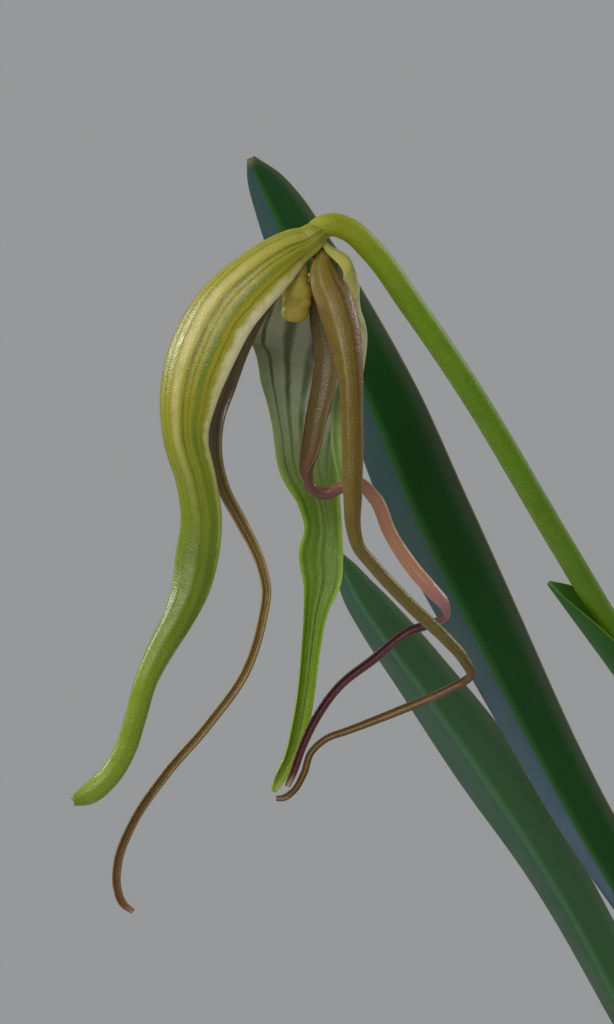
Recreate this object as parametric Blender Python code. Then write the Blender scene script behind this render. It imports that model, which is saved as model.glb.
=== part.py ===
"""A potted slipper orchid with strap leaves and one hanging, long-tailed flower, at its real size.

The origin is the middle of the pot's underside, and +Z is up.
The flower hangs to the left (-X) and front (-Y).
Every size below is in millimetres, and mesh_object() turns it into Blender's metres.
"""

import math

import bmesh
import bpy
import numpy as np
from mathutils import Vector

MM = 0.001
GAP = 0.3  # clear distance between pieces that touch
FRONT = np.array([0.0, -1.0, 0.0])  # the side that the flower is seen from

# Pot and what fills it
POT_HEIGHT = 115.0
POT_BASE_RADIUS = 47.0
POT_TOP_RADIUS = 61.0
POT_RIM_RADIUS = 65.0
POT_RIM_HEIGHT = 20.0
POT_WALL = 2.6
POT_FLOOR = 3.4
POT_SIDES = 72
DRAIN_RADIUS = 4.0
DRAIN_RING = 27.0
DRAIN_COUNT = 5
MIX_TOP = 100.0
BARK_COUNT = 64
BARK_SEED = 7
BARK_RINGS = 10
BARK_DROP = 4.0  # how far the bark lies lower along the pot's wall

# Crown of the plant, where the leaves and the flower stem stand in the mix
CROWN_TOP = 88.0
CROWN_HALF_LENGTH = 22.0
CROWN_HALF_DEPTH = 8.5
CROWN_DEEP = 16.0
FOOT = CROWN_TOP + 0.4
POCKET_MARGIN = 1.2

# Blades and stem
LEAF_THICKNESS = 1.0
PETAL_THICKNESS = 0.7
STEM_RADIUS = 2.75
LEAF_STEPS = 20
LEAF_SPAN = 4
PETAL_SPAN = 6

# The flower's neck, where its sepals and petals leave the stem
NECK = np.array([-124.0, -70.0, 398.0])

# Flower stem from the crown to the neck: x, y, z, radius
STEM_ROWS = [
    (0.0, 0.0, FOOT, 2.9),
    (0.5, 0.0, 125.0, 2.9),
    (0.0, -4.0, 160.0, 2.9),
    (-7.0, -11.0, 203.0, 2.85),
    (-20.0, -19.0, 243.0, 2.8),
    (-38.5, -28.0, 279.5, 2.8),
    (-55.0, -38.0, 309.5, 2.75),
    (-69.7, -48.0, 333.3, 2.75),
    (-91.2, -60.0, 367.7, 2.75),
    (-102.5, -65.0, 383.6, 2.75),
    (-111.0, -68.0, 394.9, 2.7),
    (-116.2, -69.2, 399.5, 2.65),
    (-120.0, -70.0, 400.5, 2.6),
    (-122.7, -70.0, 399.6, 2.5),
    (-124.0, -70.0, 398.0, 2.4),
]

# Leaves: x, y, z of the keel, width across the V, slope of the V's sides, turn of the keel from the front
LEAF_NEAR_LEFT = [
    (-9.5, 0.0, FOOT, 6.8, 65, 90),
    (-9.6, 0.0, 112.0, 7.0, 65, 90),
    (-12.5, -1.0, 150.0, 9.0, 58, 88),
    (-23.0, -5.0, 186.0, 12.0, 48, 75),
    (-40.0, -9.0, 226.0, 15.0, 36, 55),
    (-62.5, -10.0, 265.5, 17.0, 28, 40),
    (-85.3, -14.0, 308.8, 21.2, 25, 35),
    (-99.2, -16.0, 336.6, 23.0, 25, 35),
    (-109.6, -18.0, 361.8, 21.5, 25, 35),
    (-121.0, -18.0, 384.5, 19.4, 25, 35),
    (-128.5, -18.0, 398.0, 17.6, 25, 35),
    (-133.6, -18.0, 409.6, 13.4, 22, 35),
    (-136.8, -18.0, 416.4, 8.2, 18, 35),
    (-138.6, -18.0, 420.6, 2.2, 10, 35),
]
LEAF_FAR_LEFT = [
    (-12.8, 0.0, FOOT, 7.4, 65, 90),
    (-13.1, 0.0, 108.0, 7.4, 65, 90),
    (-16.5, 1.0, 128.0, 8.4, 62, 88),
    (-25.0, 4.0, 157.0, 10.0, 52, 80),
    (-36.0, 9.0, 186.0, 12.6, 40, 60),
    (-47.6, 12.0, 214.0, 15.0, 30, 42),
    (-70.0, 12.0, 254.8, 17.2, 25, 35),
    (-83.5, 12.0, 275.0, 19.2, 25, 35),
    (-98.0, 12.0, 295.4, 16.8, 25, 35),
    (-108.7, 12.0, 310.1, 13.6, 24, 35),
    (-113.4, 12.0, 317.4, 10.6, 20, 35),
    (-116.0, 12.0, 322.8, 7.0, 16, 35),
    (-118.2, 12.0, 327.7, 2.0, 10, 35),
]

# The other leaves arch by a rule: name, side, keel's distance from the stem, length, length that stays
# folded at the foot, lean at the tip, drift backwards along the leaf, widest across, turn at the tip
ARCHING_LEAVES = [
    ("leaf_low_left", -1, 16.0, 205.0, 16.0, 112.0, 0.06, 20.0, 74.0),
    ("leaf_young_right", 1, 9.5, 195.0, 48.0, 12.0, -0.04, 11.5, -60.0),
    ("leaf_far_right", 1, 12.8, 395.0, 32.0, 96.0, 0.14, 23.0, -42.0),
    ("leaf_near_right", 1, 16.1, 320.0, 26.0, 104.0, -0.14, 22.0, -50.0),
    ("leaf_low_right", 1, 19.4, 220.0, 18.0, 116.0, 0.02, 20.0, -70.0),
]

# Flower, measured from the neck: x, y, z, width across, curl of the section,
# turn of the outer side from the front
DORSAL_SEPAL = [
    (-1.4, -3.3, -0.8, 7.6, 110, -12),
    (-3.9, -4.0, -2.7, 10.0, 112, -20),
    (-7.4, -5.2, -5.3, 12.8, 110, -27),
    (-12.4, -6.8, -9.7, 15.2, 106, -30),
    (-18.8, -8.0, -16.6, 16.6, 100, -28),
    (-24.7, -9.0, -26.8, 16.6, 95, -25),
    (-27.5, -9.0, -36.3, 14.0, 100, -20),
    (-27.9, -8.0, -45.0, 10.8, 110, -15),
    (-26.0, -7.0, -53.6, 9.6, 110, -10),
    (-24.6, -6.0, -62.3, 9.7, 105, -5),
    (-25.5, -6.0, -71.1, 10.0, 110, 0),
    (-26.8, -7.0, -77.6, 8.7, 130, 0),
    (-29.3, -8.0, -83.6, 7.2, 170, 0),
    (-32.6, -9.0, -89.5, 6.2, 210, 0),
    (-36.2, -10.0, -97.0, 5.2, 240, 0),
    (-38.7, -10.0, -105.7, 4.9, 250, 0),
    (-40.8, -10.0, -112.2, 4.9, 250, 0),
    (-44.3, -10.0, -118.0, 5.0, 250, 0),
    (-48.8, -11.0, -121.9, 4.6, 240, 0),
    (-51.8, -12.0, -123.2, 2.4, 200, 0),
]
SYNSEPAL = [
    (2.4, 1.5, -2.3, 4.6, 120, 120),
    (4.9, 4.1, -4.7, 8.8, 138, 124),
    (6.2, 7.4, -8.3, 15.2, 158, 134),
    (6.3, 10.7, -14.0, 23.2, 170, 143),
    (5.4, 13.3, -22.1, 28.4, 176, 146),
    (3.4, 14.3, -28.6, 25.6, 166, 150),
    (0.8, 14.5, -35.5, 19.6, 146, 160),
    (-0.6, 14.6, -42.2, 17.2, 115, 170),
    (-0.6, 15.0, -50.1, 14.6, 85, 176),
    (1.4, 14.2, -57.9, 10.4, 75, 178),
    (2.3, 13.0, -64.6, 9.0, 75, 180),
    (1.8, 12.0, -70.2, 10.6, 80, 180),
    (2.0, 11.0, -75.8, 9.4, 95, 180),
    (0.7, 10.0, -82.4, 6.2, 130, 180),
    (-0.5, 9.0, -91.3, 4.6, 180, 180),
    (-1.5, 8.0, -100.1, 4.2, 210, 180),
    (-2.9, 7.2, -108.1, 4.1, 220, 180),
    (-5.1, 6.8, -115.3, 3.2, 220, 180),
    (-7.5, 6.6, -120.0, 2.7, 200, 180),
    (-8.8, 6.6, -122.6, 1.6, 120, 180),
]
PETAL_NEAR = [
    (1.2, -0.3, -2.3, 1.7, 60, 20),
    (1.9, -1.0, -3.9, 3.0, 70, 10),
    (2.2, -3.0, -6.9, 6.2, 85, 3),
    (2.9, -5.4, -10.2, 7.8, 98, 0),
    (4.5, -8.2, -14.3, 8.6, 108, 0),
    (7.0, -11.0, -23.4, 7.6, 125, 0),
    (8.2, -12.0, -32.5, 5.9, 140, 0),
    (8.4, -12.0, -38.5, 5.3, 160, 0),
    (8.6, -12.0, -47.2, 4.9, 190, 0),
    (8.6, -12.0, -57.0, 4.3, 220, 0),
    (8.8, -11.4, -64.3, 3.4, 240, 0),
    (9.8, -11.0, -68.0, 3.0, 250, 0),
    (13.0, -10.2, -72.1, 3.0, 250, 0),
    (21.1, -9.0, -80.8, 3.0, 250, 0),
    (29.3, -10.0, -88.6, 2.8, 250, 0),
    (32.7, -10.0, -92.2, 2.6, 250, 10),
    (35.0, -8.0, -95.8, 2.4, 240, 60),
    (33.4, -5.0, -97.9, 2.3, 230, 120),
    (29.9, -4.0, -99.5, 2.2, 210, 150),
    (18.4, -3.0, -104.4, 2.1, 210, 165),
    (7.7, -3.0, -108.5, 1.8, 220, 170),
    (2.9, -3.0, -110.3, 1.7, 220, 170),
    (-0.2, -2.0, -113.1, 1.7, 220, 170),
    (-2.0, 0.0, -118.2, 1.7, 220, 170),
    (-4.2, 1.4, -122.0, 1.6, 220, 170),
    (-6.4, 2.4, -123.6, 1.7, 190, 170),
    (-8.0, 3.0, -123.8, 1.6, 120, 170),
]
LIP = [
    (-0.4, 0.3, -2.2, 1.6, 50, 95),
    (-0.2, 0.8, -3.8, 2.2, 50, 110),
    (0.5, 1.8, -6.8, 3.4, 55, 130),
    (1.4, 2.6, -11.6, 5.0, 60, 150),
    (2.4, 3.0, -19.6, 6.2, 70, 165),
    (3.2, 3.0, -24.9, 6.2, 75, 168),
    (2.6, 2.4, -32.0, 6.0, 85, 168),
    (1.0, 2.0, -40.1, 5.4, 110, 165),
    (-0.1, 2.0, -46.9, 4.8, 140, 158),
    (-0.5, 2.0, -51.8, 4.0, 180, 120),
    (0.4, 2.0, -54.9, 3.2, 220, 60),
    (3.2, 2.0, -56.2, 2.8, 240, 15),
    (6.2, 1.0, -55.2, 2.7, 240, 0),
    (9.7, 0.0, -54.2, 2.8, 240, 0),
    (13.6, -1.0, -57.6, 3.2, 240, 0),
    (17.0, -2.0, -65.3, 3.2, 240, 0),
    (22.3, -3.0, -73.4, 3.4, 240, 0),
    (26.0, -4.0, -77.4, 3.4, 220, 10),
    (29.2, -3.6, -80.8, 3.2, 170, 35),
    (29.6, -1.2, -83.9, 2.9, 150, 90),
    (26.0, 0.8, -85.5, 2.5, 170, 140),
    (21.4, 1.0, -86.9, 2.2, 200, 165),
    (13.0, 1.0, -93.2, 2.2, 220, 180),
    (6.0, 1.0, -98.7, 2.1, 220, 180),
    (0.7, 1.0, -105.9, 2.1, 220, 180),
    (-2.4, 1.0, -112.5, 1.9, 220, 180),
    (-4.4, 1.4, -118.2, 1.8, 200, 180),
    (-5.6, 2.2, -121.0, 1.6, 120, 180),
]
PETAL_FAR = [
    (-0.7, 2.0, -0.9, 1.6, 60, 180),
    (-1.8, 2.6, -2.6, 2.2, 60, 180),
    (-6.2, 3.0, -7.9, 3.8, 70, 178),
    (-11.3, 3.0, -15.6, 4.4, 75, 176),
    (-15.8, 3.5, -24.6, 4.6, 80, 172),
    (-18.6, 3.5, -32.8, 4.4, 90, 168),
    (-20.8, 3.5, -40.2, 4.0, 120, 160),
    (-21.0, 3.0, -48.0, 3.5, 160, 155),
    (-19.2, 3.0, -55.7, 3.1, 200, 160),
    (-15.9, 3.0, -62.1, 2.9, 220, 165),
    (-11.2, 2.0, -72.5, 2.4, 230, 170),
    (-10.1, 1.0, -78.2, 2.3, 230, 170),
    (-10.7, 0.0, -83.4, 2.2, 230, 160),
    (-14.3, 0.0, -95.5, 2.2, 230, 150),
    (-22.6, 0.0, -107.4, 2.2, 230, 150),
    (-32.3, 0.0, -118.6, 2.2, 230, 160),
    (-39.5, 0.0, -129.1, 2.1, 230, 170),
    (-42.7, 0.0, -137.5, 2.1, 230, 170),
    (-42.9, 0.0, -143.0, 2.0, 230, 170),
    (-41.6, 0.0, -146.6, 1.9, 220, 170),
    (-39.5, 0.0, -148.4, 1.6, 120, 170),
]

# Column in the flower's mouth: two rounded lobes on a short stalk, from the neck
COLUMN_STALK = [(-1.3, 0.0, -0.6, 0.5), (-2.3, -0.5, -4.0, 0.8), (-3.0, -0.9, -10.0, 1.6)]
COLUMN_LOBES = [((-3.5, -1.2, -12.4), (3.4, 2.0, 3.1)), ((-3.9, -1.6, -16.9), (3.2, 1.9, 2.1))]

# Bracts round the flower stem: name, height of the foot, length, side it opens to, how far the tip stands off
BRACTS = [
    ("bract_upper", 292.0, 38.0, (-0.70, 0.45, -0.42), 7.8),
    ("bract_lower", 206.0, 34.0, (0.75, -0.35, 0.30), 6.4),
]
BRACT_THICKNESS = 0.7

COLOURS = {
    "pot": ((0.34, 0.115, 0.055), 0.8),
    "potting_mix": ((0.10, 0.045, 0.02), 0.95),
    "rhizome": ((0.16, 0.17, 0.05), 0.7),
    "leaf": ((0.035, 0.115, 0.03), 0.4),
    "flower_stem": ((0.19, 0.32, 0.035), 0.5),
    "bract": ((0.06, 0.19, 0.02), 0.5),
    "dorsal_sepal": ((0.42, 0.46, 0.06), 0.35),
    "synsepal": ((0.33, 0.42, 0.10), 0.45),
    "petal_near": ((0.30, 0.20, 0.05), 0.4),
    "petal_far": ((0.24, 0.17, 0.05), 0.4),
    "lip": ((0.33, 0.16, 0.11), 0.45),
    "column": ((0.55, 0.47, 0.07), 0.5),
}


def clear_scene():
    for old in list(bpy.data.objects):
        bpy.data.objects.remove(old)


def material(name):
    """A Principled material in one of COLOURS."""
    if name in bpy.data.materials:
        return bpy.data.materials[name]
    colour, roughness = COLOURS[name]
    made = bpy.data.materials.new(name)
    made.use_nodes = True
    shader = made.node_tree.nodes["Principled BSDF"]
    shader.inputs["Base Color"].default_value = (*colour, 1.0)
    shader.inputs["Roughness"].default_value = roughness
    return made


def mesh_object(name, points, faces, finish):
    """One closed object from points in millimetres, with its faces turned outwards."""
    mesh = bpy.data.meshes.new(name)
    mesh.from_pydata([Vector(p) * MM for p in np.asarray(points).tolist()], [], faces)
    body = bmesh.new()
    body.from_mesh(mesh)
    bmesh.ops.recalc_face_normals(body, faces=body.faces)
    body.to_mesh(mesh)
    body.free()
    mesh.shade_smooth()
    mesh.set_sharp_from_angle(angle=math.radians(50))
    mesh.materials.append(material(finish))
    made = bpy.data.objects.new(name, mesh)
    bpy.context.scene.collection.objects.link(made)
    return made


def unit(v):
    return v / np.linalg.norm(v, axis=-1, keepdims=True)


def smooth_rows(rows, steps, bend_share=0.5):
    """A smooth curve through the rows, cut into steps that are shorter where it bends more."""
    rows = np.array(rows, float)
    chord = np.linalg.norm(np.diff(rows[:, :3], axis=0), axis=1)
    at = np.concatenate([[0.0], np.cumsum(chord)])
    slope = np.gradient(rows, at, axis=0)
    count = 1200
    fine = np.linspace(0.0, at[-1], count)
    k = np.clip(np.searchsorted(at, fine, side="right") - 1, 0, len(chord) - 1)
    h = chord[k][:, None]
    t = (fine[:, None] - at[k][:, None]) / h
    curve = (
        rows[k] * (2 * t**3 - 3 * t**2 + 1)
        + slope[k] * h * (t**3 - 2 * t**2 + t)
        + rows[k + 1] * (3 * t**2 - 2 * t**3)
        + slope[k + 1] * h * (t**3 - t**2)
    )
    step = np.diff(curve[:, :3], axis=0)
    heading = unit(step)
    bend = np.arccos(np.clip(np.sum(heading[1:] * heading[:-1], axis=1), -1, 1))
    bend = np.concatenate([bend, bend[-1:]])
    length = np.linalg.norm(step, axis=1)
    measure = (1 - bend_share) * length / length.sum() + bend_share * bend / bend.sum()
    measure = np.concatenate([[0.0], np.cumsum(measure)])
    wanted = np.interp(np.linspace(0, measure[-1], steps + 1), measure, np.arange(count))
    return np.array([np.interp(wanted, np.arange(count), column) for column in curve.T]).T


def frames(points):
    """Heading, front side and left side of a line at each point."""
    heading = unit(np.gradient(points, axis=0))
    front = unit(FRONT - (heading @ FRONT)[:, None] * heading)
    return heading, front, np.cross(front, heading)


def arc_section(across, curl, thickness, u):
    """Middle line of a curled blade's section: sideways and outward, for u from -1 to 1."""
    half = math.radians(max(curl, 1.0)) / 2
    radius = (across - thickness) / 2 / math.sin(min(half, math.pi / 2))
    return radius * np.sin(u * half), radius * (np.cos(u * half) - 1)


def vee_section(across, fold, _thickness, u):
    """Middle line of a keeled leaf's section, with its sides sloping back by fold degrees."""
    soft = 0.12
    rise = (np.sqrt(u**2 + soft**2) - soft) * math.tan(math.radians(fold))
    return u * across / 2, -rise * across / 2


def no_ruffle(_t, u):
    return 0.0 * u


def synsepal_ruffle(t, u):
    """The lower sepal's margins wave in and out in its middle half."""
    strength = 1.3 * math.exp(-(((t - 0.47) / 0.20) ** 2))
    right = math.sin(2 * math.pi * (t * 5.2 + 0.10))
    left = math.sin(2 * math.pi * (t * 4.4 + 0.55))
    return strength * np.where(u > 0, right, left) * np.abs(u) ** 2.5


def blade(name, rows, finish, steps, span, thickness, section, ruffle=no_ruffle, origin=None):
    """A closed blade along the rows, both faces split into triangles alike."""
    line = smooth_rows(rows, steps)
    if origin is not None:
        line[:, :3] += origin
    heading, front, left = frames(line[:, :3])
    u = np.linspace(-1, 1, span + 1)
    outer, inner = [], []
    for i, (x, y, z, across, shape, turn) in enumerate(line):
        angle = math.radians(turn)
        outward = math.cos(angle) * front[i] + math.sin(angle) * left[i]
        side = np.cross(heading[i], outward)
        sideways, out = section(across, shape, thickness, u)
        out = out + ruffle(i / steps, u)
        along_u = unit(np.stack([np.gradient(sideways), np.gradient(out)], axis=1))
        thin = thickness / 2 * (1 - 0.2 * u**2)
        middle = np.array([x, y, z]) + np.outer(sideways, side) + np.outer(out, outward)
        normal = np.outer(-along_u[:, 1], side) + np.outer(along_u[:, 0], outward)
        outer.append(middle + normal * thin[:, None])
        inner.append(middle - normal * thin[:, None])
    points = np.concatenate([np.concatenate(outer), np.concatenate(inner)])
    return mesh_object(name, points, blade_faces(steps, span), finish)


def blade_faces(steps, span):
    """Triangles of a closed blade whose outer face's points come first, row by row."""
    row = span + 1
    back = (steps + 1) * row
    faces = []
    for i in range(steps):
        for j in range(span):
            a, b, c, d = i * row + j, i * row + j + 1, (i + 1) * row + j + 1, (i + 1) * row + j
            faces += [(a, b, c), (a, c, d)]
            faces += [(back + a, back + c, back + b), (back + a, back + d, back + c)]
        for j in (0, span):
            a, d = i * row + j, (i + 1) * row + j
            faces += [(a, d, back + d), (a, back + d, back + a)]
    for i in (0, steps):
        for j in range(span):
            a, b = i * row + j, i * row + j + 1
            faces += [(a, b, back + b), (a, back + b, back + a)]
    return faces


def tube(name, rows, finish, steps, sides, origin=None):
    """A closed round stem through rows of x, y, z, radius, with slightly rounded ends."""
    line = smooth_rows(rows, steps)
    if origin is not None:
        line[:, :3] += origin
    _, front, left = frames(line[:, :3])
    around = np.arange(sides) * 2 * math.pi / sides
    rings = []
    for i, (x, y, z, radius) in enumerate(line):
        ring = np.outer(np.cos(around), front[i]) + np.outer(np.sin(around), left[i])
        rings.append(np.array([x, y, z]) + ring * radius)
    faces = []
    for i in range(steps):
        for j in range(sides):
            k = (j + 1) % sides
            faces.append((i * sides + j, i * sides + k, (i + 1) * sides + k, (i + 1) * sides + j))
    faces.append(tuple(range(sides)))
    faces.append(tuple(steps * sides + j for j in range(sides)))
    return mesh_object(name, np.concatenate(rings), faces, finish)


def turned(name, profile, sides, finish):
    """A solid of revolution about Z from an outline of (radius, height) that starts and ends on the axis."""
    points, rings = [], []
    for radius, height in profile:
        count = sides if radius > 0 else 1
        rings.append(list(range(len(points), len(points) + count)))
        for j in range(count):
            angle = 2 * math.pi * j / sides
            points.append((radius * math.cos(angle), radius * math.sin(angle), height))
    faces = []
    for lower, upper in zip(rings, rings[1:] + rings[:1]):
        for j in range(sides):
            k = (j + 1) % sides
            corners = [lower[j % len(lower)], lower[k % len(lower)]]
            corners += [upper[k % len(upper)], upper[j % len(upper)]]
            corners = list(dict.fromkeys(corners))
            if len(corners) > 2:
                faces.append(corners)
    return mesh_object(name, points, faces, finish)


def apply_modifiers(target):
    """Keeps the shape that the object's modifiers make, and drops the modifiers."""
    graph = bpy.context.evaluated_depsgraph_get()
    shaped = bpy.data.meshes.new_from_object(target.evaluated_get(graph))
    target.modifiers.clear()
    target.data = shaped


def combine(target, pieces, operation):
    """One Boolean of the target with all the pieces, which are then removed."""
    group = bpy.data.collections.new(target.name + "_pieces")
    bpy.context.scene.collection.children.link(group)
    for piece in pieces:
        bpy.context.scene.collection.objects.unlink(piece)
        group.objects.link(piece)
    boolean = target.modifiers.new("combine", "BOOLEAN")
    boolean.operation = operation
    boolean.operand_type = "COLLECTION"
    boolean.collection = group
    apply_modifiers(target)
    for piece in pieces:
        bpy.data.objects.remove(piece)
    bpy.data.collections.remove(group)


def pot_inner_radius(height):
    """Radius of the pot's inside at a height."""
    share = height / POT_HEIGHT
    return POT_BASE_RADIUS + (POT_TOP_RADIUS - POT_BASE_RADIUS) * share - POT_WALL


def make_pot():
    """A plain tapered pot with a thick rim and drain holes, which stands on its flat base."""
    rim_foot = POT_HEIGHT - POT_RIM_HEIGHT
    share = rim_foot / POT_HEIGHT
    radius_there = POT_BASE_RADIUS + (POT_TOP_RADIUS - POT_BASE_RADIUS) * share
    profile = [
        (0.0, 0.0),
        (DRAIN_RING - DRAIN_RADIUS - 3, 0.0),
        (POT_BASE_RADIUS - 1.5, 0.0),
        (POT_BASE_RADIUS, 1.5),
        (radius_there, rim_foot),
        (POT_RIM_RADIUS - 1.5, rim_foot + 1.5),
        (POT_RIM_RADIUS, POT_HEIGHT - 1.5),
        (POT_RIM_RADIUS - 1.5, POT_HEIGHT),
        (pot_inner_radius(POT_HEIGHT), POT_HEIGHT),
        (pot_inner_radius(POT_FLOOR), POT_FLOOR),
        (DRAIN_RING - DRAIN_RADIUS - 3, POT_FLOOR),
        (0.0, POT_FLOOR),
    ]
    pot = turned("pot", profile, POT_SIDES, "pot")
    drill = [(0.0, -2.0), (DRAIN_RADIUS, -2.0), (DRAIN_RADIUS, POT_FLOOR + 2), (0.0, POT_FLOOR + 2)]
    drills = []
    for k in range(DRAIN_COUNT):
        angle = 2 * math.pi * (k + 0.13) / DRAIN_COUNT
        hole = turned(f"drill_{k}", drill, 12, "pot")
        hole.location = (DRAIN_RING * math.cos(angle) * MM, DRAIN_RING * math.sin(angle) * MM, 0)
        drills.append(hole)
    bpy.context.view_layer.update()
    combine(pot, drills, "DIFFERENCE")


def oval_plug(name, half_length, half_depth, low, high, finish):
    """An upright oval cylinder about Z."""
    sides = 28
    around = np.arange(sides) * 2 * math.pi / sides
    ring = np.stack([half_length * np.cos(around), half_depth * np.sin(around)], axis=1)
    points = [(x, y, z) for z in (low, high) for x, y in ring]
    faces = [(j, (j + 1) % sides, sides + (j + 1) % sides, sides + j) for j in range(sides)]
    faces += [tuple(range(sides)), tuple(range(sides, 2 * sides))]
    return mesh_object(name, points, faces, finish)


def bark_height(chips, x, y):
    """Height of the bark's top at a point: the tilted face of the chip that is nearest to it."""
    near = np.argmin((chips[:, 0] - x) ** 2 + (chips[:, 1] - y) ** 2)
    middle_x, middle_y, lift, tilt_x, tilt_y = chips[near]
    return MIX_TOP + lift + tilt_x * (x - middle_x) + tilt_y * (y - middle_y)


def make_potting_mix():
    """Bark that fills the pot, with a rough top and an oval pocket for the crown."""
    draw = np.random.default_rng(BARK_SEED)
    radius = np.sqrt(draw.uniform(0, 1, BARK_COUNT)) * POT_TOP_RADIUS
    angle = draw.uniform(0, 2 * math.pi, BARK_COUNT)
    lift = draw.uniform(-1.8, 1.8, BARK_COUNT)
    tilt = draw.uniform(-0.28, 0.28, (2, BARK_COUNT))
    chips = np.stack([radius * np.cos(angle), radius * np.sin(angle), lift, *tilt], axis=1)
    around = np.arange(POT_SIDES) * 2 * math.pi / POT_SIDES
    circle = np.stack([np.cos(around), np.sin(around)], axis=1)
    low = POT_FLOOR + GAP
    rim = circle * (pot_inner_radius(MIX_TOP - BARK_DROP) - GAP)
    half_length = CROWN_HALF_LENGTH + POCKET_MARGIN
    half_depth = CROWN_HALF_DEPTH + POCKET_MARGIN
    oval = circle * np.array([half_length, half_depth])
    pocket_floor = CROWN_TOP - CROWN_DEEP - GAP
    loops = [[(0.0, 0.0, low)], [(x, y, low) for x, y in circle * (pot_inner_radius(low) - GAP)]]
    loops.append([(x, y, MIX_TOP - BARK_DROP) for x, y in rim])
    for share in np.linspace(0.06, 1.0, BARK_RINGS):
        ring = (1 - share) * rim + share * oval
        loops.append([(x, y, bark_height(chips, x, y)) for x, y in ring])
    loops.append([(x, y, pocket_floor) for x, y in oval])
    loops.append([(0.0, 0.0, pocket_floor)])
    mesh_object("potting_mix", [p for loop in loops for p in loop], loop_faces(loops), "potting_mix")


def loop_faces(loops):
    """Triangles that join loops of points one to the next, where the first and last are single points."""
    faces = []
    start = 0
    for lower, upper in zip(loops, loops[1:]):
        above = start + len(lower)
        for j in range(POT_SIDES):
            k = (j + 1) % POT_SIDES
            a, b = start + j % len(lower), start + k % len(lower)
            c, d = above + k % len(upper), above + j % len(upper)
            if len(upper) > 1:
                faces.append((a, c, d))
            if len(lower) > 1:
                faces.append((a, b, c))
        start = above
    return faces


def make_rhizome():
    """The short creeping stem that the leaves and the flower stem stand on."""
    oval_plug("rhizome", CROWN_HALF_LENGTH, CROWN_HALF_DEPTH, CROWN_TOP - CROWN_DEEP, CROWN_TOP, "rhizome")


def arching_rows(side, apex, length, folded, lean, drift, widest, tip_turn):
    """Rows of a strap leaf that rises from the crown and arches over to its side."""
    count = 12
    step = length / count
    foot_width = min(7.2, 0.46 * widest)
    x, y, z = side * apex, 0.0, FOOT
    rows = []
    for k in range(count + 1):
        t = k / count
        opened = min(1.0, max(0.0, (t - folded / length) / 0.42))
        opened = opened * opened * (3 - 2 * opened)
        fold = 65 - 40 * opened
        narrowing = max(0.0, (t - 0.72) / 0.28) ** 2.2
        across = (foot_width + (widest - foot_width) * opened) * (1 - 0.9 * narrowing)
        rows.append((x, y, z, across, fold, -side * 90 + (tip_turn + side * 90) * opened))
        angle = math.radians(lean * max(0.0, t - 0.03) ** 0.9)
        x += side * step * math.sin(angle)
        z += step * math.cos(angle)
        y += step * drift * opened
    return rows


def make_leaves():
    leaves = [("leaf_near_left", LEAF_NEAR_LEFT), ("leaf_far_left", LEAF_FAR_LEFT)]
    leaves += [(name, arching_rows(*shape)) for name, *shape in ARCHING_LEAVES]
    for name, rows in leaves:
        blade(name, rows, "leaf", LEAF_STEPS, LEAF_SPAN, LEAF_THICKNESS, vee_section)


def bract_rows(foot_height, length, opens_to, stand_off):
    """Rows of a bract that clasps the stem at its foot and stands off at its tip."""
    stem = smooth_rows(STEM_ROWS, 400, 0.0)
    heading, front, left = frames(stem[:, :3])
    foot = int(np.argmin(np.abs(stem[:300, 2] - foot_height)))
    travelled = np.concatenate([[0.0], np.cumsum(np.linalg.norm(np.diff(stem[:, :3], axis=0), axis=1))])
    hold = STEM_RADIUS + 0.15 + GAP + BRACT_THICKNESS / 2 + 0.1
    rows = []
    for t in (0.0, 0.2, 0.4, 0.6, 0.78, 0.9, 1.0):
        i = int(np.searchsorted(travelled, travelled[foot] + t * length))
        out = np.array(opens_to) - (heading[i] @ np.array(opens_to)) * heading[i]
        out = unit(out)
        distance = hold + (stand_off - hold) * t**1.2
        turn = math.degrees(math.atan2(out @ left[i], out @ front[i]))
        curl = 290 - 150 * t
        wide = 2 * distance * math.sin(math.radians(min(curl, 180) / 2)) + BRACT_THICKNESS
        wide *= 1 - max(0.0, (t - 0.55) / 0.45) ** 1.6 * 0.86
        x, y, z = stem[i, :3] + out * distance
        rows.append((x, y, z, wide, curl, turn))
    return rows


def make_bracts():
    for name, foot_height, length, opens_to, stand_off in BRACTS:
        rows = bract_rows(foot_height, length, opens_to, stand_off)
        blade(name, rows, "bract", 14, 8, BRACT_THICKNESS, arc_section)


def ellipsoid(name, centre, radii, finish):
    ball = bmesh.new()
    bmesh.ops.create_uvsphere(ball, u_segments=12, v_segments=8, radius=1.0)
    points = [NECK + np.array(centre) + np.array(v.co) * np.array(radii) for v in ball.verts]
    faces = [[v.index for v in face.verts] for face in ball.faces]
    ball.free()
    return mesh_object(name, points, faces, finish)


def make_column():
    column = tube("column", COLUMN_STALK, "column", 5, 8, NECK)
    lobes = [ellipsoid(f"lobe_{k}", *shape, "column") for k, shape in enumerate(COLUMN_LOBES)]
    combine(column, lobes, "UNION")


def make_flower():
    """Sepals, petals and lip, each from its base at the neck to its tip."""
    parts = [
        ("dorsal_sepal", DORSAL_SEPAL, 36, no_ruffle),
        ("synsepal", SYNSEPAL, 40, synsepal_ruffle),
        ("petal_near", PETAL_NEAR, 46, no_ruffle),
        ("petal_far", PETAL_FAR, 36, no_ruffle),
        ("lip", LIP, 48, no_ruffle),
    ]
    for name, rows, steps, ruffle in parts:
        blade(name, rows, name, steps, PETAL_SPAN, PETAL_THICKNESS, arc_section, ruffle, NECK)


def main():
    clear_scene()
    make_pot()
    make_potting_mix()
    make_rhizome()
    make_leaves()
    tube("flower_stem", STEM_ROWS, "flower_stem", 44, 12)
    make_bracts()
    make_column()
    make_flower()


main()
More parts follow.
